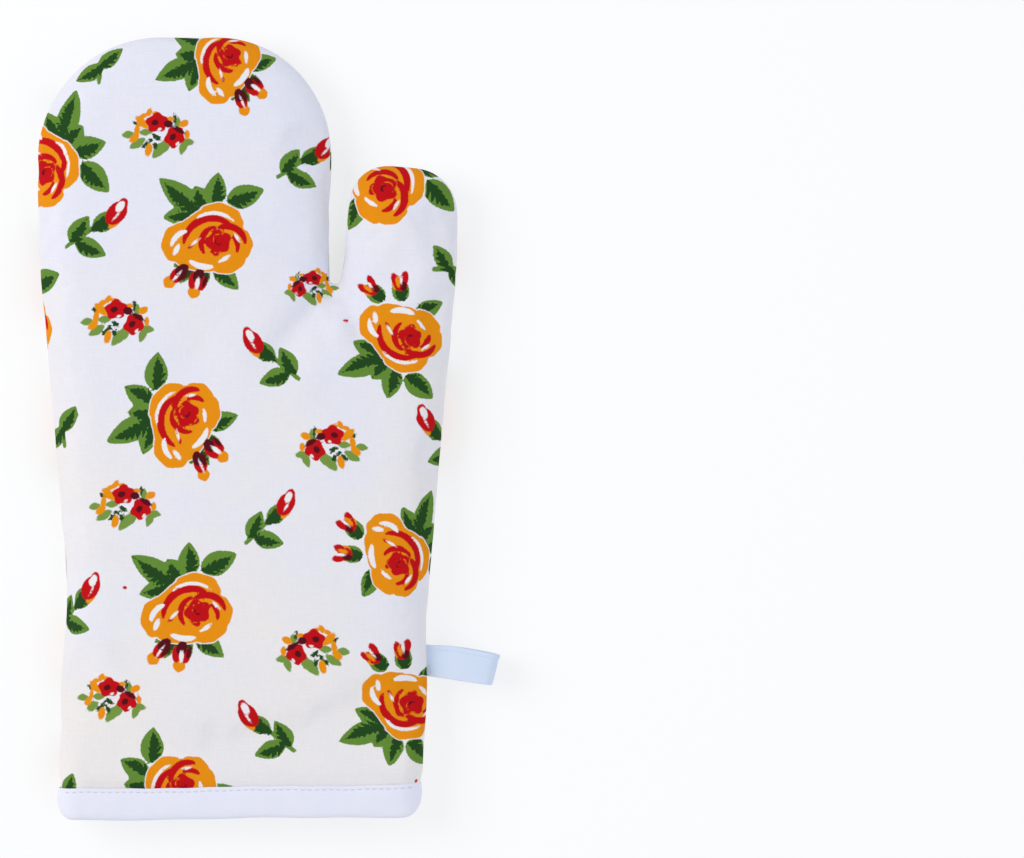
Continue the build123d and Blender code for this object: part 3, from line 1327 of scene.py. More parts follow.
def mesh_of(cage: bmesh.types.BMesh, name: str) -> bpy.types.Mesh:
    """Turns a bmesh into a mesh.

    Args:
        cage: the bmesh, which is freed.
        name: the mesh's name.

    Returns:
        The mesh.
    """
    mesh = bpy.data.meshes.new(name)
    cage.to_mesh(mesh)
    cage.free()
    return mesh


def new_piece(mesh: bpy.types.Mesh, material: bpy.types.Material) -> bpy.types.Object:
    """Puts a finished mesh in the scene under its own name.

    Args:
        mesh: the mesh, in metres in the frame of the solids.
        material: its material.

    Returns:
        The object.
    """
    piece = linked(mesh.name, mesh)
    mesh.materials.clear()
    mesh.materials.append(material)
    mesh.shade_smooth()
    LOG.info("%s: %d faces", piece.name, len(mesh.polygons))
    return piece


def read(
    items: bpy.types.bpy_prop_collection, name: str, width: int, kind: type = np.float32
) -> np.ndarray:
    """One value of every item in a mesh's list.

    Args:
        items: the list, such as a mesh's vertices.
        name: the value's name.
        width: how many numbers the value has.
        kind: the type of those numbers.

    Returns:
        The values, one row an item.
    """
    values = np.zeros(len(items) * width, kind)
    items.foreach_get(name, values)
    return values.reshape(-1, width)


def set_uv(mesh: bpy.types.Mesh, flat: np.ndarray) -> None:
    """Gives a mesh a UV map from a flat point for each vertex.

    Args:
        mesh: the mesh.
        flat: flat points in millimetres, stored in metres.
    """
    corners = read(mesh.loops, "vertex_index", 1, np.int32).ravel()
    layer = mesh.uv_layers.new(name="cloth")
    layer.data.foreach_set("uv", (flat[corners] * MM).astype(np.float32).ravel())


@dataclass
class MittBody:
    """The padded body of the mitt: printed panels, wadding and lining, front and back."""

    plan: MittPlan
    finishes: Finishes
    seam_depth: float = 1.6
    wadding_depth: float = 2.6
    lining_depth: float = 5.1
    lining_thickness: float = 0.5
    layer_gap: float = 0.3
    crown: float = 1.8
    crown_reach: float = 60.0
    ease: float = 0.5
    seam_sink: float = 0.6
    hem_depth: float = 0.95
    hem_reach: float = 4.5
    raw_edge: float = 7.8
    settle_limit: float = 1.4
    settle_hem: float = 3.0
    settle_reach: float = 24.0
    settle_frames: int = 22
    fine_levels: int = 2
    print_shift: tuple[float, float] = (16.0, -41.0)
    print_seen: float = 0.5

    def __post_init__(self) -> None:
        """Lays out the net that the layers share."""
        self.form = ClothForm(self.plan)

    def crowned(self, side: Side) -> np.ndarray:
        """The outer cloth of a half, its front swelled by the wadding and its hem drawn in.

        Args:
            side: the half.

        Returns:
            Its points in millimetres.
        """
        points = self.form.surface(side, -self.ease)
        half = self.plan.thickness / 2
        binding = self.plan.binding_height
        height = (points[:, 2] - half) * side.value
        moved = points.copy()
        if side is Side.FRONT:
            above_hem = smoothstep(binding, binding + self.crown_reach, points[:, 1])
            moved[:, 2] += self.crown * smoothstep(0.0, self.crown_reach, self.form.from_seam) * above_hem
        above_edge = points[:, 1] - self.plan.binding_top(points[:, 0])
        squeeze = (self.hem_depth + self.ease) * (1.0 - smoothstep(0.0, self.hem_reach, above_edge))
        moved[:, 2] -= side.value * squeeze * height / half
        moved[:, 0] -= np.sign(points[:, 0]) * squeeze * (1.0 - smoothstep(0.0, half, height))
        return self.hemmed(moved)

    def hemmed(self, points: np.ndarray) -> np.ndarray:
        """Ends the cloth inside the fold of the binding instead of at the cuff's edge.

        Args:
            points: points in millimetres.

        Returns:
            The points, with those under the binding drawn up into it.
        """
        top = self.plan.binding_height
        moved = points.copy()
        under = points[:, 1] < top
        share = np.clip(points[under, 1] / top, 0.0, 1.0)
        moved[under, 1] = self.raw_edge + (top - self.raw_edge) * share
        return moved

    def closed_net(self) -> bpy.types.Object:
        """Both halves joined along the side seam, as one open bag.

        Returns:
            The bag, its faces numbered by half and cut, with its flat cloth and its print as UV maps.
        """
        front, back = (self.crowned(side) for side in Side)
        seam = self.form.ring_size
        points = np.vstack([front, back[seam:]])
        points[:seam, :2] += self.form.inward * self.seam_sink
        faces = self.form.faces()
        shift = len(front) - seam
        back_faces = [[i if i < seam else i + shift for i in reversed(face)] for face in faces]
        mesh = bpy.data.meshes.new("mitt_net")
        mesh.from_pydata([tuple(p) for p in points * MM], [], faces + back_faces)
        corners = ([i for face in faces for i in face], [i for face in faces for i in reversed(face)])
        for name, seen in (("cloth", 0.0), ("print", self.print_seen)):
            flat = np.vstack([self.form.flat(side, seen)[used] for side, used in zip(Side, corners)])
            layer = mesh.uv_layers.new(name=name)
            layer.data.foreach_set("uv", (flat * MM).astype(np.float32).ravel())
        for index, polygon in enumerate(mesh.polygons):
            middle = points[list(polygon.vertices)].mean(0)
            thumb = self.form.thumb_mask(middle[None])[0]
            polygon.material_index = index // len(faces) * len(Region) + int(thumb)
        for _ in range(len(Side) * len(Region)):
            mesh.materials.append(None)
        return linked("mitt_net", mesh)

    def relaxed(self, bag: bpy.types.Object) -> None:
        """Lets the bag's cloth settle over its wadding, held at the seam and at the cuff.

        Args:
            bag: the bag, whose vertices are moved.
        """
        rest = read(bag.data.vertices, "co", 3).astype(float)
        pins = bag.vertex_groups.new(name="sewn")
        pins.add(list(range(self.form.ring_size)), 1.0, "REPLACE")
        hem_y = (self.plan.binding_height + self.settle_hem) * MM
        pins.add([v.index for v in bag.data.vertices if v.co.y < hem_y], 1.0, "REPLACE")
        cloth = bag.modifiers.new("settle", "CLOTH")
        for name, value in CLOTH_SETTINGS.items():
            setattr(cloth.settings, name, value)
        cloth.settings.vertex_group_mass = pins.name
        cloth.settings.effector_weights.gravity = 0.0
        cloth.point_cache.frame_end = self.settle_frames
        for number in range(1, self.settle_frames + 1):
            bpy.context.scene.frame_set(number)
        graph = bpy.context.evaluated_depsgraph_get()
        settled = bpy.data.meshes.new_from_object(bag.evaluated_get(graph))
        moved = read(settled.vertices, "co", 3).astype(float) - rest
        bag.modifiers.remove(cloth)
        bpy.context.scene.frame_set(1)
        length = np.linalg.norm(moved, axis=1, keepdims=True)
        moved *= np.minimum(1.0, self.settle_limit * MM / np.maximum(length, TINY))
        moved *= smoothstep(hem_y, hem_y + self.settle_reach * MM, rest[:, 1])[:, None]
        points = rest + moved
        points[:, 2] = np.maximum(points[:, 2], 0.0)
        bag.data.vertices.foreach_set("co", points.astype(np.float32).ravel())
        bpy.data.meshes.remove(settled)

    def panels(self) -> dict[tuple[Side, Region], bpy.types.Mesh]:
        """The printed panels as fine meshes, one for each half and cut.

        Returns:
            The meshes, with their flat cloth as a UV map and the print's inks as attributes.
        """
        bag = self.closed_net()
        self.relaxed(bag)
        net = bag.data
        bpy.data.objects.remove(bag)
        return self.cut_panels(smoothed(net, self.fine_levels))

    def cut_panels(self, fine: bpy.types.Mesh) -> dict[tuple[Side, Region], bpy.types.Mesh]:
        """Presses the folds into the fine bag and cuts it into panels, with normals that match at the cuts.

        Args:
            fine: the bag, which is used up.

        Returns:
            The panels.
        """
        points = read(fine.vertices, "co", 3).astype(float)
        quads = read(fine.loops, "vertex_index", 1, np.int32).reshape(-1, 4)
        flats = [read(layer.data, "uv", 2).reshape(-1, 4, 2) / MM for layer in fine.uv_layers]
        index = read(fine.polygons, "material_index", 1, np.int32).ravel()
        panels = {}
        for number, side in enumerate(Side):
            half = quads[index // len(Region) == number]
            used = np.unique(half)
            depth = sum(crease.depth_at(points[used] / MM) for crease in CREASES) * side.value
            sunk = points.copy()
            sunk[used, 2] = np.maximum(points[used, 2] - depth * MM, 0.0)
            cross = np.cross(sunk[half[:, 2]] - sunk[half[:, 0]], sunk[half[:, 3]] - sunk[half[:, 1]])
            normals = np.zeros_like(points)
            for corner in half.T:
                np.add.at(normals, corner, cross)
            normals /= np.maximum(np.linalg.norm(normals, axis=1, keepdims=True), TINY)
            for place, region in enumerate(Region):
                chosen = index == len(Region) * number + place
                old, new = np.unique(quads[chosen], return_inverse=True)
                mesh = bpy.data.meshes.new(f"{side.word}_panel_{region.value}_cloth")
                mesh.from_pydata(sunk[old] + np.array(self.plan.origin), [], new.reshape(-1, 4))
                cloth, printed = np.zeros((2, len(old), 2))
                for flat, corners in zip((cloth, printed), flats):
                    flat[new.ravel()] = corners[chosen].reshape(-1, 2)
                set_uv(mesh, cloth)
                self.print_on(mesh, printed, side)
                mesh.shade_smooth()
                mesh.normals_split_custom_set_from_vertices(normals[old])
                panels[(side, region)] = mesh
        bpy.data.meshes.remove(fine)
        return panels

    def print_on(self, mesh: bpy.types.Mesh, flat: np.ndarray, side: Side) -> None:
        """Stores the print on a panel.

        Args:
            mesh: the panel.
            flat: its flat points in millimetres.
            side: the half, because the back is cut from another stretch of the same cloth.
        """
        shift = np.array(self.print_shift) if side is Side.BACK else np.zeros(2)
        levels = RosePrint().ink_levels(flat - shift).astype(np.float32)
        for name, inks in INK_LAYERS.items():
            attribute = mesh.attributes.new(name, "FLOAT_COLOR", "POINT")
            attribute.data.foreach_set("color", levels[:, [ink.value for ink in inks]].ravel())

    def inner_layer(
        self, name: str, side: Side, region: Region, outer: float, inner: float
    ) -> bpy.types.Mesh:
        """A closed layer under the panels, between two depths.

        Args:
            name: the mesh's name.
            side: the half.
            region: the cut.
            outer: the depth of its outer face.
            inner: the depth of its inner face.

        Returns:
            The mesh, with its flat cloth as a UV map.
        """
        top = self.hemmed(self.form.surface(side, outer))
        faces = self.form.faces()
        thumb = self.form.thumb_mask(np.array([top[face].mean(0) for face in faces]))
        chosen = [face for face, is_thumb in zip(faces, thumb) if is_thumb == (region is Region.THUMB)]
        kept = np.unique([i for face in chosen for i in face])
        renumbered = dict(zip(kept, range(len(kept))))
        built = [[renumbered[i] for i in face][:: side.value] for face in chosen]
        mesh = bpy.data.meshes.new(name)
        mesh.from_pydata([tuple(p) for p in top[kept] * MM + np.array(self.plan.origin)], [], built)
        set_uv(mesh, self.form.flat(side, inset=outer)[kept])
        cage = bmesh.new()
        cage.from_mesh(mesh)
        bmesh.ops.recalc_face_normals(cage, faces=cage.faces)
        if np.sign(sum(f.normal.z for f in cage.faces)) != side.value:
            bmesh.ops.reverse_faces(cage, faces=cage.faces)
        bmesh.ops.solidify(cage, geom=cage.faces[:], thickness=(inner - outer) * MM)
        cage.to_mesh(mesh)
        cage.free()
        return mesh

    def build(self) -> None:
        for (side, region), mesh in self.panels().items():
            panel = new_piece(mesh, self.finishes.printed_cotton)
            self.fit(panel, side, "panel", region)
            self.declare_sheet(panel)
        pad_depths = (self.wadding_depth, self.lining_depth - self.layer_gap)
        bag_depths = (self.lining_depth, self.lining_depth + self.lining_thickness)
        for side in Side:
            for region in Region:
                pad_name = f"{side.word}_wadding_{region.value}_pad"
                mesh = self.inner_layer(pad_name, side, region, *pad_depths)
                pad = new_piece(mesh, self.finishes.wadding)
                self.fit(pad, side, "wadding", region)
                bag_name = f"{side.word}_lining_{region.value}_bag"
                mesh = self.inner_layer(bag_name, side, region, *bag_depths)
                bag = new_piece(mesh, self.finishes.lining)
                self.fit(bag, side, "lining", region)
                self.declare_sheet(bag)

    def fit(self, piece: bpy.types.Object, side: Side, layer: str, region: Region) -> None:
        """Bakes a layer's place into its mesh and hides the solids that it stands for.

        Args:
            piece: the layer's piece.
            side: its half.
            layer: the layer's name in the solids.
            region: its cut.
        """
        self.bend(piece, region)
        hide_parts(*[f"{side.word}_{layer}_{zone}" for zone in region.zones])

    def bend(self, piece: bpy.types.Object, region: Region) -> None:
        """Bakes a piece's place into its mesh, and finds where the fold of the fingers or of the thumb
        starts and ends, which nothing uses.

        Args:
            piece: the piece.
            region: the cut that it belongs to.
        """
        reach = self.plan.fold_reach
        if region is Region.HAND:
            start = self.plan.place(0.0, self.plan.knuckle_y - reach)
            end = self.plan.place(0.0, self.plan.knuckle_y + reach)
            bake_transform(piece)
            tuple(start)
            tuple(end)
            return
        normal = self.plan.thumb_fold_normal
        axis = self.plan.crotch.point + normal * self.plan.thumb_fold_rise
        start = self.plan.place(*(axis - normal * reach))
        end = self.plan.place(*(axis + normal * reach))
        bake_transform(piece)
        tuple(start)
        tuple(end)

    def declare_sheet(self, piece: bpy.types.Object) -> None:
        """Works out twice the area of each of a panel's or lining's triangles in its flat cloth, which
        nothing uses.

        Args:
            piece: the piece.
        """
        mesh = piece.data
        uv = read(mesh.uv_layers["cloth"].data, "uv", 2).astype(float)
        mesh.calc_loop_triangles()
        corners = read(mesh.loop_triangles, "loops", 3, np.int32)
        a, b, c = uv[corners].transpose(1, 0, 2)
        doubled = (b[:, 0] - a[:, 0]) * (c[:, 1] - a[:, 1]) - (b[:, 1] - a[:, 1]) * (c[:, 0] - a[:, 0])


def sweep(name: str, sections: list[list[Vector]], closed: bool) -> bpy.types.Mesh:
    """A tube through sections with the same number of points.

    Args:
        name: the mesh's name.
        sections: the sections, each one a closed loop of points.
        closed: whether the last section joins the first.

    Returns:
        The mesh, its open ends filled, its normals outwards.
    """
    cage = bmesh.new()
    rings = []
    for section in sections:
        verts = [cage.verts.new(point) for point in section]
        rings.append([cage.edges.new((a, b)) for a, b in zip(verts, verts[1:] + verts[:1])])
    for here, there in zip(rings, rings[1:] + (rings[:1] if closed else [])):
        bmesh.ops.bridge_loops(cage, edges=here + there)
    if not closed:
        for ends in (rings[0], rings[-1]):
            bmesh.ops.contextual_create(cage, geom=ends)
    bmesh.ops.recalc_face_normals(cage, faces=cage.faces)
    return mesh_of(cage, name)


def smoothed(mesh: bpy.types.Mesh, levels: int) -> bpy.types.Mesh:
    """A mesh subdivided and smoothed.

    Args:
        mesh: the mesh, which is used up.
        levels: how many times each face is divided.

    Returns:
        The finer mesh, under the same name.
    """
    name = mesh.name
    holder = linked(name, mesh)
    finer = holder.modifiers.new("finer", "SUBSURF")
    finer.levels = levels
    finer.render_levels = levels
    finer.uv_smooth = "NONE"
    fine = bpy.data.meshes.new_from_object(holder.evaluated_get(bpy.context.evaluated_depsgraph_get()))
    bpy.data.objects.remove(holder)
    bpy.data.meshes.remove(mesh)
    fine.name = name
    return fine


def box_uv(mesh: bpy.types.Mesh) -> None:
    """Gives a tape a UV map in metres, laid flat from whichever side each face looks to.

    Args:
        mesh: the tape.
    """
    points = read(mesh.vertices, "co", 3)
    layer = mesh.uv_layers.new(name="cloth")
    for polygon in mesh.polygons:
        drop = int(np.argmax(np.abs(polygon.normal)))
        keep = [axis for axis in range(3) if axis != drop]
        for loop in polygon.loop_indices:
            layer.data[loop].uv = points[mesh.loops[loop].vertex_index][keep]


def ripple(x: float, phase: float, waves: Waves) -> float:
    """The unevenness of sewing by eye: a long wave that is shifted by a phase and a short one.

    Args:
        x: the place along the work.
        phase: the shift of the long wave.
        waves: the height and the rate of each.

    Returns:
        How far the work strays.
    """
    (height, rate), (low_height, fast_rate) = waves
    return height * math.sin(x * rate + phase) + low_height * math.sin(x * fast_rate)


@dataclass
class CuffBinding:
    """The tape folded over the cuff's raw edges and the two rows of stitches that hold it."""

    plan: MittPlan
    finishes: Finishes
    tape: float = 0.75
    layers: float = 7.1
    corner_radius: float = 5.5
    foot_rise: float = 1.2
    foot_tilt: float = 0.0105
    foot_waves: Waves = ((0.25, 0.061), (0.15, 0.17))
    foot_phase: float = 0.8
    edge_waves: Waves = ((0.22, 0.083), (0.1, 0.37))
    belly: float = 0.35
    belly_waves: Waves = ((0.14, 0.23), (0.084, 0.61))
    stitch_from_edge: float = 1.7
    stitch_pitch: float = 3.0
    stitch_length: float = 2.2
    stitch_thickness: float = 0.5
    stitch_sink: float = 0.12
    stitch_row: float = 147.0
    stitch_segments: tuple[int, int] = (8, 6)
    dimple: float = 0.28
    dimple_swing: float = 0.35
    path_step: float = 1.5
    fine_levels: int = 1

    def path(self) -> list[tuple[Vector, Vector]]:
        """The way round the outside of the cuff, seen along the mitt.

        Returns:
            Points across and up, each with the direction outwards.
        """
        radius = self.plan.edge_radius
        straight = self.plan.cuff_width / 2 - radius
        half_height = self.plan.thickness / 2
        steps = math.ceil(straight * 2 / self.path_step)
        turns = math.ceil(QUARTER_TURN * radius / self.path_step)
        way = []
        for sign in (1, -1):
            for i in range(steps):
                x = sign * straight * (2 * i / steps - 1)
                way.append((Vector((x, half_height + sign * half_height)), Vector((0, sign))))
            for quarter, up in ((0, sign), (1, -sign)):
                corner = Vector((sign * straight, half_height + up * (half_height - radius)))
                for i in range(turns):
                    angle = QUARTER_TURN * (1 - quarter - i / turns)
                    out = Vector((math.cos(angle), math.sin(angle))) * sign
                    way.append((corner + out * radius, out))
        return way

    def foot(self, x: float) -> float:
        """How far the binding's foot rises across the cuff, whose corners are rounded.

        Args:
            x: the place across the cuff.

        Returns:
            The rise.
        """
        inner = self.plan.cuff_width / 2 - self.corner_radius
        past = min(max(abs(x) - inner, 0.0), self.corner_radius)
        corner_rise = self.corner_radius - math.sqrt(self.corner_radius**2 - past**2)
        wave = ripple(x, self.foot_phase, self.foot_waves) * (1 - past / self.corner_radius)
        return corner_rise + self.foot_rise + self.foot_tilt * x + wave

    def edge(self, x: float, facing: float) -> float:
        """How high the binding's upper edge lies across the cuff, on the face that looks up or down."""
        return self.plan.binding_top(x) + ripple(x, facing, self.edge_waves)

    def section(self, spot: Vector, out: Vector) -> list[Vector]:
        """The tape cut across at one place: up the outside, over the top, down the inside and back.

        Args:
            spot: the place on the outside of the cuff.
            out: the way outwards there.

        Returns:
            The section's points, in metres in the frame of the solids.
        """
        foot = self.foot(spot.x)
        top = self.edge(spot.x, out.y)
        row = top - self.stitch_from_edge
        swing = self.dimple_swing * (1 - math.cos(math.tau * spot.x / self.stitch_pitch))
        dimple = self.dimple * (1 - swing)
        belly = self.belly + ripple(spot.x, out.y, self.belly_waves)
        inside = -self.layers
        # Each point is a distance out of the cuff's face and a height above the cuff's edge.
        outer = [
            (inside + 1.2, foot + 0.15),
            (inside / 2, foot),
            (-1.4, foot + 0.25),
            (-0.45, foot + 0.95),
            (0.05, foot + 2.2),
            (belly * 0.8, foot + 4.2),
            (belly, (foot + top) / 2),
            (belly * 0.6, row - 2.0),
            (0.05, row - 0.9),
            (-dimple, row),
            (0.0, row + 0.75),
            (-0.05, top - 0.25),
        ]
        rim = [(-0.3, top), (-self.tape, top - 0.12)]
        hidden = [
            (-self.tape - 0.05, row),
            (-self.tape, foot + 2.6),
            (-1.7, foot + 1.3),
            (inside + 1.7, foot + 1.3),
            (inside + self.tape, foot + 2.6),
            (inside + self.tape, top - 0.5),
        ]
        inner = [
            (inside + 0.3, top - 0.3),
            (inside, top - 0.8),
            (inside, foot + 2.4),
            (inside + 0.4, foot + 0.9),
        ]
        return [
            self.plan.place(spot.x + out.x * away, y, spot.y + out.y * away)
            for away, y in outer + rim + hidden + inner
        ]

    def build(self) -> None:
        """Makes the tape and its stitches and sets them on the hand."""
        sections = [self.section(spot, out) for spot, out in self.path()]
        mesh = smoothed(sweep("cuff_tape", sections, closed=True), self.fine_levels)
        box_uv(mesh)
        tape = new_piece(mesh, self.finishes.binding)
        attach(tape, "hand")
        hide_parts("cuff_binding")
        for side in Side:
            self.stitches(side)

    def stitches(self, side: Side) -> None:
        """Makes one row of stitches, each sunk a little into the tape.

        Args:
            side: the face that the row is on.
        """
        cage = bmesh.new()
        count = int(self.stitch_row / self.stitch_pitch)
        radius = self.plan.edge_radius
        straight = self.plan.cuff_width / 2 - radius
        face = self.plan.thickness if side is Side.FRONT else 0.0
        thin = self.stitch_thickness / 2
        size = Matrix.Diagonal((self.stitch_length / 2, thin, thin, 1))
        around, along = self.stitch_segments
        for i in range(count):
            x = (i - (count - 1) / 2) * self.stitch_pitch
            lean = math.asin(max(abs(x) - straight, 0.0) / radius)
            drop = radius * (1 - math.cos(lean)) + self.stitch_sink
            y = self.edge(x, side.value) - self.stitch_from_edge
            spot = Matrix.Translation(self.plan.place(x, y, face - side.value * drop))
            turn = Matrix.Rotation(math.copysign(lean, x) * side.value, 4, "Y")
            placed = spot @ turn @ size
            bmesh.ops.create_uvsphere(cage, u_segments=around, v_segments=along, radius=MM, matrix=placed)
        for vertex in cage.verts:
            vertex.co.z = max(vertex.co.z, 0.0)
        mesh = mesh_of(cage, f"binding_stitch_row_{side.word}")
        row = new_piece(mesh, self.finishes.thread)
        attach(row, "hand")
        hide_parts(f"binding_stitches_{side.word}")


@dataclass
class SeamStrand:
    """The closing thread of one seam, hidden between the halves."""

    body: MittBody
    name: str
    inset: float
    thickness: float = 0.5
    sides: int = 6

    def runs(self, region: Region) -> list[np.ndarray]:
        """The stretches of the seam that one cut of the cloth holds, from above the binding.

        Args:
            region: the cut.

        Returns:
            For each stretch, the numbers of the edge's points.
        """
        form = self.body.form
        line = form.edge + form.inward * self.inset
        wanted = form.thumb_mask(line) == (region is Region.THUMB)
        wanted &= line[:, 1] > form.plan.binding_height + self.inset
        numbers = np.flatnonzero(wanted)
        return np.split(numbers, np.flatnonzero(np.diff(numbers) > 1) + 1)

    def section(self, number: int) -> list[Vector]:
        """The strand cut across at one point of the edge.

        Args:
            number: the point's number.

        Returns:
            The section's points, in metres in the frame of the solids.
        """
        form = self.body.form
        radius = self.thickness / 2
        points = []
        for i in range(self.sides):
            angle = math.tau * i / self.sides
            depth = self.inset + radius * (1 + math.cos(angle))
            x, y = form.edge[number] + form.inward[number] * depth
            points.append(form.plan.place(x, y, form.plan.thickness / 2 + radius * math.sin(angle)))
        return points

    def build(self) -> None:
        """Makes the strand of each cut and hides the thread that the solids have there."""
        for region in Region:
            cage = bmesh.new()
            for run in self.runs(region):
                stretch = sweep("stretch", [self.section(number) for number in run], closed=False)
                cage.from_mesh(stretch)
                bpy.data.meshes.remove(stretch)
            mesh = mesh_of(cage, f"{self.name}_strand_{region.value}")
            strand = new_piece(mesh, self.body.finishes.thread)
            self.body.bend(strand, region)
            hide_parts(*[f"{self.name}_thread_{zone}" for zone in region.zones])


@dataclass
class HangingLoop:
    """The loop of folded tape at the side seam, with the fold that runs beside its upper edge."""

    plan: MittPlan
    finishes: Finishes
    hinge_x: float = 80.49
    hinge_y: float = 67.3
    length: float = 28.8
    width: float = 13.2
    droop: float = 8.0
    tape: float = 0.7
    eye_radius: float = 4.4
    root_rise: float = 0.78
    sewn_in: float = 5.0
    fold_from_edge: float = 2.4
    fold_rise: float = 0.22
    fold_groove: float = 0.12
    bulge: float = 0.8
    bulge_place: float = 0.7
    slant: float = 0.11
    bends_from: float = -1.6
    bends_to: float = 3.4
    run_steps: int = 16
    eye_steps: int = 10
    fine_levels: int = 2

    def outline(self) -> list[tuple[float, float]]:
        """The loop seen along the seam: out along its upper side, round the eye and back below.

        Returns:
            Distances out from the hinge and up from the middle.
        """
        eye_x = self.length - self.eye_radius
        upper = []
        for along in np.linspace(-self.sewn_in, eye_x, self.run_steps + 1):
            share = smoothstep(0.0, eye_x, along)
            upper.append((along, self.root_rise + (self.eye_radius - self.root_rise) * share))
        bend = []
        for i in range(1, self.eye_steps):
            angle = QUARTER_TURN - math.pi * i / self.eye_steps
            bend.append((eye_x + self.eye_radius * math.cos(angle), self.eye_radius * math.sin(angle)))
        return upper + bend + [(along, -rise) for along, rise in reversed(upper)]

    def place(self, along: float, across: float, up: float) -> Vector:
        """A point of the loop in the frame of the solids.

        Args:
            along: out from the hinge, in millimetres.
            across: along the tape's width, towards the fingers.
            up: above the middle of the mitt.

        Returns:
            The point, in metres.
        """
        leaning = along + self.slant * (across - self.width / 2) * max(along / self.length, 0.0) ** 2
        c, s = heading(self.droop)
        x = self.hinge_x + leaning * c + across * s
        y = self.hinge_y - leaning * s + across * c
        return self.plan.place(x, y, self.plan.thickness / 2 + up)

    def section(self, spot: Vector, out: Vector) -> list[Vector]:
        """The tape cut across at one place of the loop.

        Args:
            spot: the place on its outer face.
            out: the way outwards there.

        Returns:
            The section's points.
        """
        share = min(max(spot.x / self.length, 0.0), 1.0)
        half = self.width / 2
        upper = half + self.bulge * math.sin(math.pi * share**self.bulge_place)
        fold = upper - self.fold_from_edge
        # Each point is a distance across the tape and a rise above its outer face.
        profile = [
            (-half, -0.15),
            (-half + 0.4, 0.0),
            (-half * 0.4, 0.04),
            (fold - 0.9, 0.04),
            (fold - 0.2, -self.fold_groove),
            (fold + 0.2, -self.fold_groove),
            (fold + 0.6, self.fold_rise),
            (upper - 0.5, self.fold_rise),
            (upper, 0.0),
        ]
        inside = [(across, 0.5 * rise - self.tape) for across, rise in reversed(profile)]
        return [
            self.place(spot.x + out.x * rise, across, spot.y + out.y * rise)
            for across, rise in profile + inside
        ]

    def build(self) -> None:
        """Makes the tape, with its ends sewn into the seam, and hides the solid loop."""
        way = [Vector(point) for point in self.outline()]
        sections = []
        for i, spot in enumerate(way):
            run = (way[min(i + 1, len(way) - 1)] - way[max(i - 1, 0)]).normalized()
            sections.append(self.section(spot, Vector((-run.y, run.x))))
        mesh = smoothed(sweep("loop_tape", sections, closed=False), self.fine_levels)
        box_uv(mesh)
        tape = new_piece(mesh, self.finishes.loop)
        start = self.place(self.bends_from, 0, 0)
        end = self.place(self.bends_to, 0, 0)
        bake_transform(tape)
        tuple(start)
        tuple(end)
        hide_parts("hanging_loop")


@dataclass
class HiddenParts:
    """The sewn-in solids that keep their own shape: the loop's tails and their tack."""

    finishes: Finishes

    def build(self) -> None:
        """Gives each one its finish."""
        dressed = {"loop_tack_stitches": self.finishes.thread, "loop_tails": self.finishes.loop_tails}
        for name, material in dressed.items():
            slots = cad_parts[name].data.materials
            slots.clear()
            slots.append(material)
            LOG.info("%s: dressed", name)


@dataclass(frozen=True)
class Lamp:
    """A square soft lamp aimed at the mitt, with its place and side in metres and its power in watts."""

    name: str
    place: tuple[float, float, float]
    side: float
    power: float
    colour: tuple[float, float, float]

    def build(self) -> None:
        """Hangs the lamp."""
        light = bpy.data.lights.new(self.name, "AREA")
        light.size = self.side
        light.energy = self.power
        light.color = self.colour
        lamp = linked(self.name, light)
        lamp.location = self.place
        lamp.rotation_euler = (-Vector(self.place)).to_track_quat("-Z", "Y").to_euler()


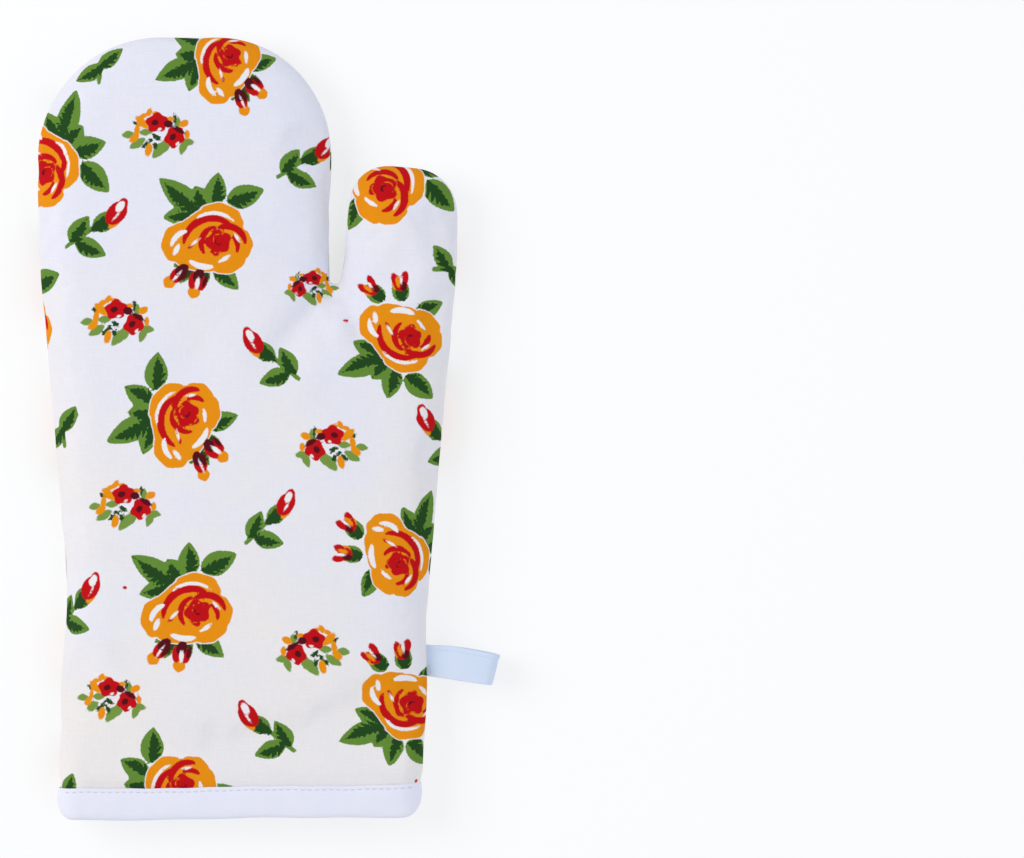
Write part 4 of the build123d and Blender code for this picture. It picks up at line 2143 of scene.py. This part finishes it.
@dataclass
class Studio:
    """The floor, the light and the camera, with the photograph's sizes and the cuff's place in pixels."""

    plan: MittPlan
    photo_width: float = 1024.0
    photo_height: float = 858.0
    photo_cuff_x: float = 240.0
    photo_cuff_y: float = 820.0
    photo_scale: float = 0.4225
    lens: float = 150.0
    sensor: float = 36.0
    far: float = 20.0
    floor_half: float = 3.0
    floor_segments: int = 4
    floor_gap: float = 0.0004
    floor_grey: float = 0.36
    floor_glow: float = 0.62
    floor_roughness: float = 0.9
    sky: Colour = (0.9, 0.95, 1.0, 1.0)
    sky_strength: float = 0.72
    lamps: tuple[Lamp, ...] = (
        Lamp("key", (-1.1, 0.35, 1.05), 1.0, 10.2, (1.0, 0.96, 0.91)),
        Lamp("fill", (0.95, -0.25, 1.1), 1.2, 3.4, (0.9, 0.95, 1.0)),
    )

    def build(self) -> None:
        """Sets up the whole studio."""
        bpy.context.scene.view_settings.view_transform = "Standard"
        self.floor()
        self.world()
        for lamp in self.lamps:
            lamp.build()
        self.camera()

    def floor(self) -> None:
        """Lays a wide pale floor under the mitt."""
        cage = bmesh.new()
        segments = self.floor_segments
        bmesh.ops.create_grid(cage, x_segments=segments, y_segments=segments, size=self.floor_half)
        mesh = mesh_of(cage, "floor")
        graph = Graph("floor")
        graph.surface(
            {
                "Base Color": (self.floor_grey, self.floor_grey, self.floor_grey, 1.0),
                "Emission Color": (1.0, 1.0, 1.0, 1.0),
                "Emission Strength": self.floor_glow,
                "Roughness": self.floor_roughness,
                "Specular IOR Level": 0.0,
            }
        )
        mesh.materials.append(graph.material)
        floor = linked("floor", mesh)
        floor.location.z = -self.floor_gap

    def world(self) -> None:
        """Sets soft light all round."""
        world = bpy.data.worlds.new("studio")
        bpy.context.scene.world = world
        world.use_nodes = True
        background = world.node_tree.nodes["Background"]
        background.inputs["Color"].default_value = self.sky
        background.inputs["Strength"].default_value = self.sky_strength

    def camera(self) -> None:
        """Puts a camera straight above, so that the mitt falls where the photograph has it."""
        x = (self.photo_width / 2 - self.photo_cuff_x) * self.photo_scale
        y = (self.photo_cuff_y - self.photo_height / 2) * self.photo_scale
        view_width = self.photo_width * self.photo_scale * MM
        target = self.plan.place(x, y, self.plan.thickness / 2)
        data = bpy.data.cameras.new("camera")
        data.lens = self.lens
        data.sensor_width = self.sensor
        data.clip_end = self.far
        camera = linked("camera", data)
        camera.location = target + Vector((0, 0, view_width * self.lens / self.sensor))
        bpy.context.scene.camera = camera


def main() -> None:
    logging.basicConfig(level=logging.INFO, format="%(message)s")
    plan = MittPlan()
    finishes = Finishes()
    body = MittBody(plan, finishes)
    body.build()
    SeamStrand(body, "side_seam", body.seam_depth).build()
    SeamStrand(body, "lining_seam", body.lining_depth).build()
    CuffBinding(plan, finishes).build()
    HangingLoop(plan, finishes).build()
    HiddenParts(finishes).build()
    Studio(plan).build()


if __name__ == "__main__":
    main()
